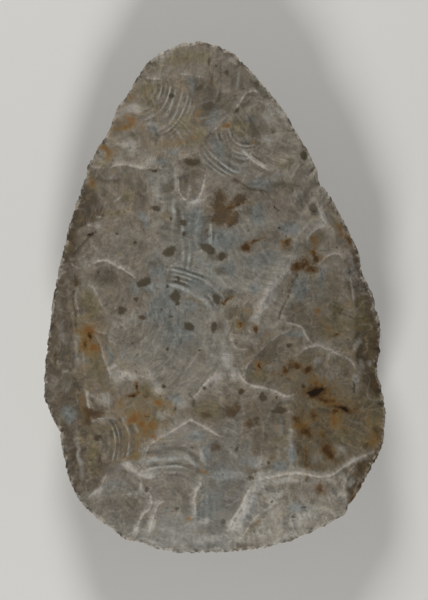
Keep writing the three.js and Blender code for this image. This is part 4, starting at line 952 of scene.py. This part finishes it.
def wandered(u, v, wanders):
    """The points moved by noise, by each of the wanders in turn."""
    for size, reach in wanders:
        moves = np.array([noise.noise_vector(Vector((x, y, size)) / size) for x, y in zip(u, v)])
        u, v = u + reach * moves[:, 0], v + reach * moves[:, 1]
    return u, v


def closeness(marks, u, v, crispness):
    """How near each point is to a mark: 1 in its middle, 0.5 on its outline and 0 far outside."""
    best = np.zeros(len(u))
    for mark in marks:
        strength = mark[5] if len(mark) > 5 else 1
        best = np.maximum(best, strength / (1 + np.hypot(*in_ellipse(mark[:5], u, v)) ** crispness))
    return best


def worn_skins(u, v):
    """How much of each kind of skin every point of the upper face wears, blended across the ridges; the dark
    skin carries painted shade too.
    """
    u, v = wandered(*warped(u, v), SKIN_WANDER)
    total = np.zeros((len(u), len(SKINS)))
    weights = np.full((len(u), 1), 1e-9)
    for name, scar in FACE_SCARS.items():
        weight = np.exp(bowl(scar, u, v)[0] / SKIN_BLEND)[:, None]
        total += weight * [kind.get(name, 0) for kind in SKINS.values()]
        weights += weight
    return dict(zip(SKINS, (total / weights).T))


def scattered(count, largest, seed):
    """Marks at random places of the belly."""
    chance = np.random.default_rng(seed)
    marks = []
    while len(marks) < count:
        mu, mv = [chance.uniform(-reach, reach) for reach in BELLY_REACH]
        run, spread, heading = chance.uniform(SMALLEST_SHARE, 1, 3) * (largest, largest * MARK_SPREAD, 180)
        if polar(np.array([mu]), np.array([mv]))[1][0] < BELLY_MARK_EDGE:
            marks.append((mu, mv, run, spread, heading))
    return marks


def from_strike(u, v, owner):
    """Each point's place in mm in its own scar, round the point of the edge that was struck."""
    scars = np.array(face_scars + face_chips)
    ways = np.radians(scars[:, 4])
    half_runs = scars[:, 2:3] * np.column_stack([np.cos(ways), np.sin(ways)])
    ends = [scars[:, :2] + half_runs, scars[:, :2] - half_runs]
    outward = [np.hypot(end[:, 0] - CROWN[0], (end[:, 1] - CROWN[1]) / BLOCK_STRETCH) for end in ends]
    struck_u, struck_v = np.where((outward[0] > outward[1])[:, None], *ends)[owner].T
    away = np.hypot(u - struck_u, v - struck_v) * UNIT
    return away, TURN_SIZE * np.arctan2(v - struck_v, u - struck_u), SCAR_STEP * owner


fu, fv = face_net.T
bu, bv = belly_net.T
marked_u, marked_v = wandered(fu, fv, MARK_WANDER)
arris_pale = face["bold"] ** ARRIS_LINE_EVENNESS * np.exp(-(face["from_arris"] / ARRIS_LINE) ** 2)
chip_ridge = (face["share"] > CHIP_ZONE) * (1 - smoothstep(0, CHIP_RIDGE_LINE, face["from_ridge"]))
# Painted shade along each crease
painted_crease_shade = np.exp(-(face["from_crease"] / CREASE_LINE) ** 2)
from_edge = (1 - face["share"]) * edge_reach(polar(fu, fv)[0]) * UNIT

above = {name: closeness(marks, marked_u, marked_v, crispness)
         for name, (marks, crispness) in FACE_MARKS.items()}
above.update(worn_skins(fu, fv))
above.update(
    # The painted shade along the creases darkens the streaks and the shade patches
    streaks=np.maximum(above["streaks"], CREASE_DARKNESS * painted_crease_shade),
    shade=np.maximum(above["shade"], painted_crease_shade),
    arris=np.clip(np.maximum(arris_pale, CHIP_RIDGE_PALENESS * chip_ridge), 0, 1),
    halo=face["bold"] * np.exp(-face["from_arris"] / ARRIS_HALO),
    # Painted shade on the low side of each arris, where the later scar falls away
    below_arris=np.sqrt(face["bold"]) * face["low_side"] * np.exp(-face["from_arris"] / BELOW_ARRIS),
    hollow=smoothstep(0, HOLLOW_REACH, face["from_ridge"]),
    # The band along the rim that carries its painted highlights and shade
    edge=1 - smoothstep(*RIM_LIGHT_AND_SHADE_BAND, from_edge),
    crest=face["crests"])
above.update(zip(FLOW_STORE["flow"], from_strike(fu, fv, face["owner"])))

below = {name: closeness(scattered(count, largest, seed), bu, bv, crispness)
         for name, (count, largest, seed, crispness) in BELLY_MARKS.items()}
below.update(BELLY_SKINS, crest=LEVEL_CREST, hollow=smoothstep(0, HOLLOW_REACH, belly["belly_ridge"]),
             away=bu * UNIT, turned=bv * UNIT)

for store, names in (STORES | FLOW_STORE).items():
    table = np.ones((len(stone_points), 4))
    for k, name in enumerate(names):
        belly_values = np.broadcast_to(below.get(name, 0), len(bu))
        table[:, k] = np.concatenate([above[name], belly_values, above[name][face_loop]])
    stone_mesh.attributes.new(store, "FLOAT_COLOR", "POINT").data.foreach_set("color", table.ravel())

# Patinated flint
# Glassy quartz with a weathered skin: a dull waxy face, cloudy grey-brown, with crisp little stains.
# Each noise is the size of its lumps in mm, detail, roughness and distortion.
NOISES = dict(
    clouds=(9, 5, 0.62, 0.8), drift=(22, 3, 0.5, 0.5), patches=(12, 2, 0.5, 0), mottle=(2.4, 6, 0.65, 0.5),
    ragged=(1.1, 4, 0.65, 0.8), thread=(9, 3, 0.45, 0.6), dark_thread=(13, 3, 0.5, 0.4),
    # The grain, dust and specks of real flint are too fine to show, and are drawn coarser
    grain=(0.7, 3, 0.6, 0), dust=(0.9, 4, 0.75, 0), specks=(1.0, 2, 0.5, 0))
# The flow streaks run out from where each flake was struck, in its scar's own millimetres
FLOW = dict(Scale=0.9, Detail=3, Roughness=0.6, Distortion=0.6)
FLOW_STRETCH = (1.0, 0.22, 1.0)
DARK_FLINT = "#6e6557"
PALE_FLINT = "#857e71"
# Each layer is what it follows, the share of each noise that makes its outline wander, where it starts
# and is full, how much it covers, and its colour. They are laid one over the other, in this order.
SKIN_LAYERS = [
    # The skins of the scars, warmer and cooler, paler and darker; the dark skin and the shade patches are
    # partly painted shade
    ("drift", {}, 0.35, 0.65, 0.5, "#7b6e5f"),
    ("blue_skin", dict(clouds=0.9), 0, 1.1, 0.65, "#7d817c"),
    ("pale_skin", dict(clouds=0.6), 0, 1, 0.8, "#a39c8e"),
    ("brown_skin", dict(clouds=0.6), 0, 1.2, 0.7, "#6c5d3f"),
    ("dark_skin_and_shade", dict(clouds=0.6), 0, 1.1, 0.85, "#483b29"),
    ("blue", dict(clouds=1.2), 0.2, 1, 0.7, "#717877"),
    ("olive", dict(clouds=1.2), 0.25, 1, 0.7, "#6f6547"),
    ("shade", dict(clouds=1.2), 0.25, 1.05, 0.7, "#4f4739"),
    ("hollow", dict(clouds=1), 0.1, 1.1, 0.3, "#564d3f"),
    # Ripples worn pale on their crests and dark in their troughs
    ("crest", {}, 0.5, 1, 0.6, "#a3a6a0"),
    ("crest", {}, 0.5, 0, 0.5, "#4a463d"),
    # Arrises, pale with a halo and painted shade below, and chalky patina, which along one arris is a
    # painted highlight
    ("halo", dict(mottle=0.6), 0.05, 1, 0.55, "#a39c91"),
    ("below_arris", dict(mottle=0.5), 0.1, 1, 0.6, "#544b3d"),
    ("chalk", dict(clouds=1.6), 0.15, 1.05, 0.7, "#afaaa1"),
    ("arris", dict(mottle=1, clouds=1.4), 0.15, 1, 0.7, "#b3aca1"),
    # The edge, with painted highlights and painted shade by turns on its small facets
    ("edge", dict(mottle=-3), 0.75, 1.3, 0.6, "#453a2e"),
    ("edge", dict(mottle=3, ragged=1), 0.75, 1.2, 0.65, "#aaa398"),
    # Hair lines
    ("thread", {}, 0.03, 0, 0.16, "#a8a297"),
    ("dark_thread", {}, 0.02, 0, 0.2, "#3f3829"),
]
# Ranges of a noise, from its low and its high to what each of them gives
RANGE = ("From Min", "From Max", "To Min", "To Max")
SMOOTH = {"interpolation_type": "SMOOTHSTEP"}
CLOUDED = (0.3, 0.7, 0, 1)
GREYS = dict(mottle=(0.25, 0.75, 0.76, 1.24), dust=(0.2, 0.8, 0.76, 1.24), flow=(0.25, 0.75, 0.74, 1.26))
FLOW_SHOWS = (0.4, 0.6, 0.25, 1)
WAXY = (0.3, 0.7, 0.5, 0.66)
STAIN_LAYERS = [
    # Humus and iron, brown with an ochre halo round its darker heart
    ("umber", dict(ragged=1.3), 0.22, 0.85, 0.9, "#4d3c27"),
    ("iron", dict(mottle=1.6), 0.05, 0.7, 0.7, "#7d653a"),
    ("iron", dict(mottle=1.4, ragged=1.4), 0.3, 1, 0.85, "#744c22"),
    ("brown", dict(mottle=1.2), 0.05, 0.6, 0.7, "#6b522b"),
    ("brown", dict(ragged=1.2, mottle=0.8), 0.22, 0.85, 0.95, "#472d12"),
    # Black streaks, which also carry the creases' painted shade, and the little spots
    ("streaks", dict(ragged=0.9), 0.2, 0.8, 0.97, "#1f1204"),
    ("spots", dict(ragged=1.1), 0.22, 0.85, 0.9, "#443a28"),
    ("specks", {}, 0.66, 0.74, 0.6, "#3a3022"),
]
FLOW_RELIEF = 0.8
RELIEF = {"Strength": 0.7, "Distance": 0.13 * MM}
GLASSY = {"IOR": 1.54, "Specular IOR Level": 0.2}
# The sockets of a colour mix, and its output
FACTOR = 0
UNDER = 6
OVER = 7
RESULT = 2


def linear(hex_colour):
    """An sRGB hex colour as the linear colour that the shader takes."""
    parts = [int(hex_colour[k:k + 2], 16) / 255 for k in (1, 3, 5)]
    return tuple(c / 12.92 if c <= 0.04045 else ((c + 0.055) / 1.055) ** 2.4 for c in parts) + (1,)


def add_node(tree, kind, settings=(), values=(), links=()):
    """Adds a node, sets its properties and its sockets, and links outputs to its sockets."""
    node = tree.nodes.new(kind)
    for name, value in dict(settings).items():
        setattr(node, name, value)
    for socket, value in dict(values).items():
        node.inputs[socket].default_value = value
    for socket, source in dict(links).items():
        tree.links.new(source, node.inputs[socket])
    return node


flint = bpy.data.materials.new("patinated_flint")
flint.use_nodes = True
tree = flint.node_tree
tree.nodes.clear()

read = {}
for store, names in STORES.items():
    attribute = add_node(tree, "ShaderNodeAttribute", {"attribute_name": store})
    parts = add_node(tree, "ShaderNodeSeparateColor", links={0: attribute.outputs["Color"]})
    read.update(zip(names, parts.outputs))
places = add_node(tree, "ShaderNodeTexCoord")
for name, (size_mm, detail, roughness, distortion) in NOISES.items():
    read[name] = add_node(tree, "ShaderNodeTexNoise", values={
        "Scale": 1 / (size_mm * MM), "Detail": detail, "Roughness": roughness, "Distortion": distortion,
    }, links={"Vector": places.outputs["Object"]}).outputs["Fac"]
for name in ("thread", "dark_thread"):
    level = add_node(tree, "ShaderNodeMath", {"operation": "SUBTRACT"}, {1: 0.5}, {0: read[name]})
    size = add_node(tree, "ShaderNodeMath", {"operation": "ABSOLUTE"}, links={0: level.outputs[0]})
    read[name] = size.outputs[0]
flow_place = add_node(tree, "ShaderNodeAttribute", {"attribute_name": "flow"})
stretched = add_node(tree, "ShaderNodeMapping", values={"Scale": FLOW_STRETCH},
                     links={"Vector": flow_place.outputs["Vector"]})
read["flow"] = add_node(tree, "ShaderNodeTexNoise", values=FLOW,
                        links={"Vector": stretched.outputs["Vector"]}).outputs["Fac"]


def layered(body, layers):
    """The body colour with the layers laid over it."""
    for name, noises, low, high, amount, colour in layers:
        value = read[name]
        for noise_name, share in noises.items():
            value = add_node(tree, "ShaderNodeMath", {"operation": "MULTIPLY_ADD"}, {1: share},
                             {0: read[noise_name], 2: value}).outputs[0]
        shift = sum(noises.values()) / 2
        cover = add_node(tree, "ShaderNodeMapRange", SMOOTH, dict(
            zip(RANGE, (low + shift, high + shift, 0, amount))), {"Value": value})
        body = add_node(tree, "ShaderNodeMix", {"data_type": "RGBA"}, {OVER: linear(colour)},
                        {FACTOR: cover.outputs[0], UNDER: body}).outputs[RESULT]
    return body


cloudy = add_node(tree, "ShaderNodeMapRange", SMOOTH, dict(zip(RANGE, CLOUDED)), {"Value": read["clouds"]})
clouded = add_node(tree, "ShaderNodeMix", {"data_type": "RGBA"},
                   {UNDER: linear(DARK_FLINT), OVER: linear(PALE_FLINT)}, {FACTOR: cloudy.outputs[0]})
body = layered(clouded.outputs[RESULT], SKIN_LAYERS)
flow_cover = add_node(tree, "ShaderNodeMapRange", SMOOTH, dict(zip(RANGE, FLOW_SHOWS)),
                      {"Value": read["patches"]})
for name, levels in GREYS.items():
    grey = add_node(tree, "ShaderNodeMapRange", SMOOTH, dict(zip(RANGE, levels)), {"Value": read[name]})
    greyed = add_node(tree, "ShaderNodeMix", {"data_type": "RGBA", "blend_type": "MULTIPLY"}, {FACTOR: 1},
                      {UNDER: body, OVER: grey.outputs[0]})
    if name == "flow":
        tree.links.new(flow_cover.outputs[0], greyed.inputs[FACTOR])
    body = greyed.outputs[RESULT]
body = layered(body, STAIN_LAYERS)

rough = add_node(tree, "ShaderNodeMapRange", SMOOTH, dict(zip(RANGE, WAXY)), {"Value": read["mottle"]})
height = add_node(tree, "ShaderNodeMath", {"operation": "MULTIPLY_ADD"}, {1: FLOW_RELIEF},
                  {0: read["flow"], 2: read["grain"]})
relief = add_node(tree, "ShaderNodeBump", values=RELIEF, links={"Height": height.outputs[0]})
shader = add_node(tree, "ShaderNodeBsdfPrincipled", values=GLASSY, links={
    "Base Color": body, "Roughness": rough.outputs[0], "Normal": relief.outputs["Normal"]})
add_node(tree, "ShaderNodeOutputMaterial", links={"Surface": shader.outputs["BSDF"]})
stone_mesh.materials.append(flint)

# The floor
# A wide sheet of pale matt card on the table, which the stone lies on.
CARD_SIZE = 8
CARD_COLOUR = "#dcdad5"
CARD_ROUGHNESS = 0.9
bpy.ops.object.select_all(action="DESELECT")
bpy.ops.mesh.primitive_plane_add(size=CARD_SIZE)
floor = bpy.context.active_object
floor.name = "pale_card"
card = bpy.data.materials.new("matt_card")
card.use_nodes = True
card.node_tree.nodes["Principled BSDF"].inputs["Base Color"].default_value = linear(CARD_COLOUR)
card.node_tree.nodes["Principled BSDF"].inputs["Roughness"].default_value = CARD_ROUGHNESS
floor.data.materials.append(card)

# The studio light
# A soft box low beyond the butt lights the slopes that face it, and a weaker one hangs past the tip.
# Each is its name, place in metres, width and power in watts, and it points at the stone.
SOFT_BOXES = [
    ("key_soft_box", (-0.1, -1.0, 0.5), 0.3, 10.5),
    ("fill_soft_box", (-0.15, 0.98, 0.5), 0.35, 10),
]
ROOM_COLOUR = "#e8ebf0"
ROOM_LIGHT = 0.12
world = bpy.data.worlds.new("studio")
bpy.context.scene.world = world
world.use_nodes = True
world.node_tree.nodes["Background"].inputs["Color"].default_value = linear(ROOM_COLOUR)
world.node_tree.nodes["Background"].inputs["Strength"].default_value = ROOM_LIGHT
for name, place, width, power in SOFT_BOXES:
    bpy.ops.object.light_add(type="AREA", location=place)
    box = bpy.context.active_object
    box.name = name
    box.data.shape = "DISK"
    box.data.size = width
    box.data.energy = power
    box.rotation_euler = (-Vector(place)).to_track_quat("-Z", "Y").to_euler()

# The camera
# It hangs straight above the stone, with the tip up in the picture, and frames it as the photograph does.
EYE_HEIGHT = 0.9
FRAME_LENGTH = 0.1754
FRAME_MIDDLE = (-0.00029, -0.00088)
NEAREST_SEEN = 0.05
bpy.ops.object.camera_add(location=(*FRAME_MIDDLE, EDGE_HEIGHT * MM + EYE_HEIGHT), rotation=(0, 0, 0))
camera = bpy.context.active_object
camera.data.lens = camera.data.sensor_width * EYE_HEIGHT / FRAME_LENGTH
camera.data.clip_start = NEAREST_SEEN
bpy.context.scene.camera = camera
bpy.context.scene.view_settings.view_transform = "Standard"
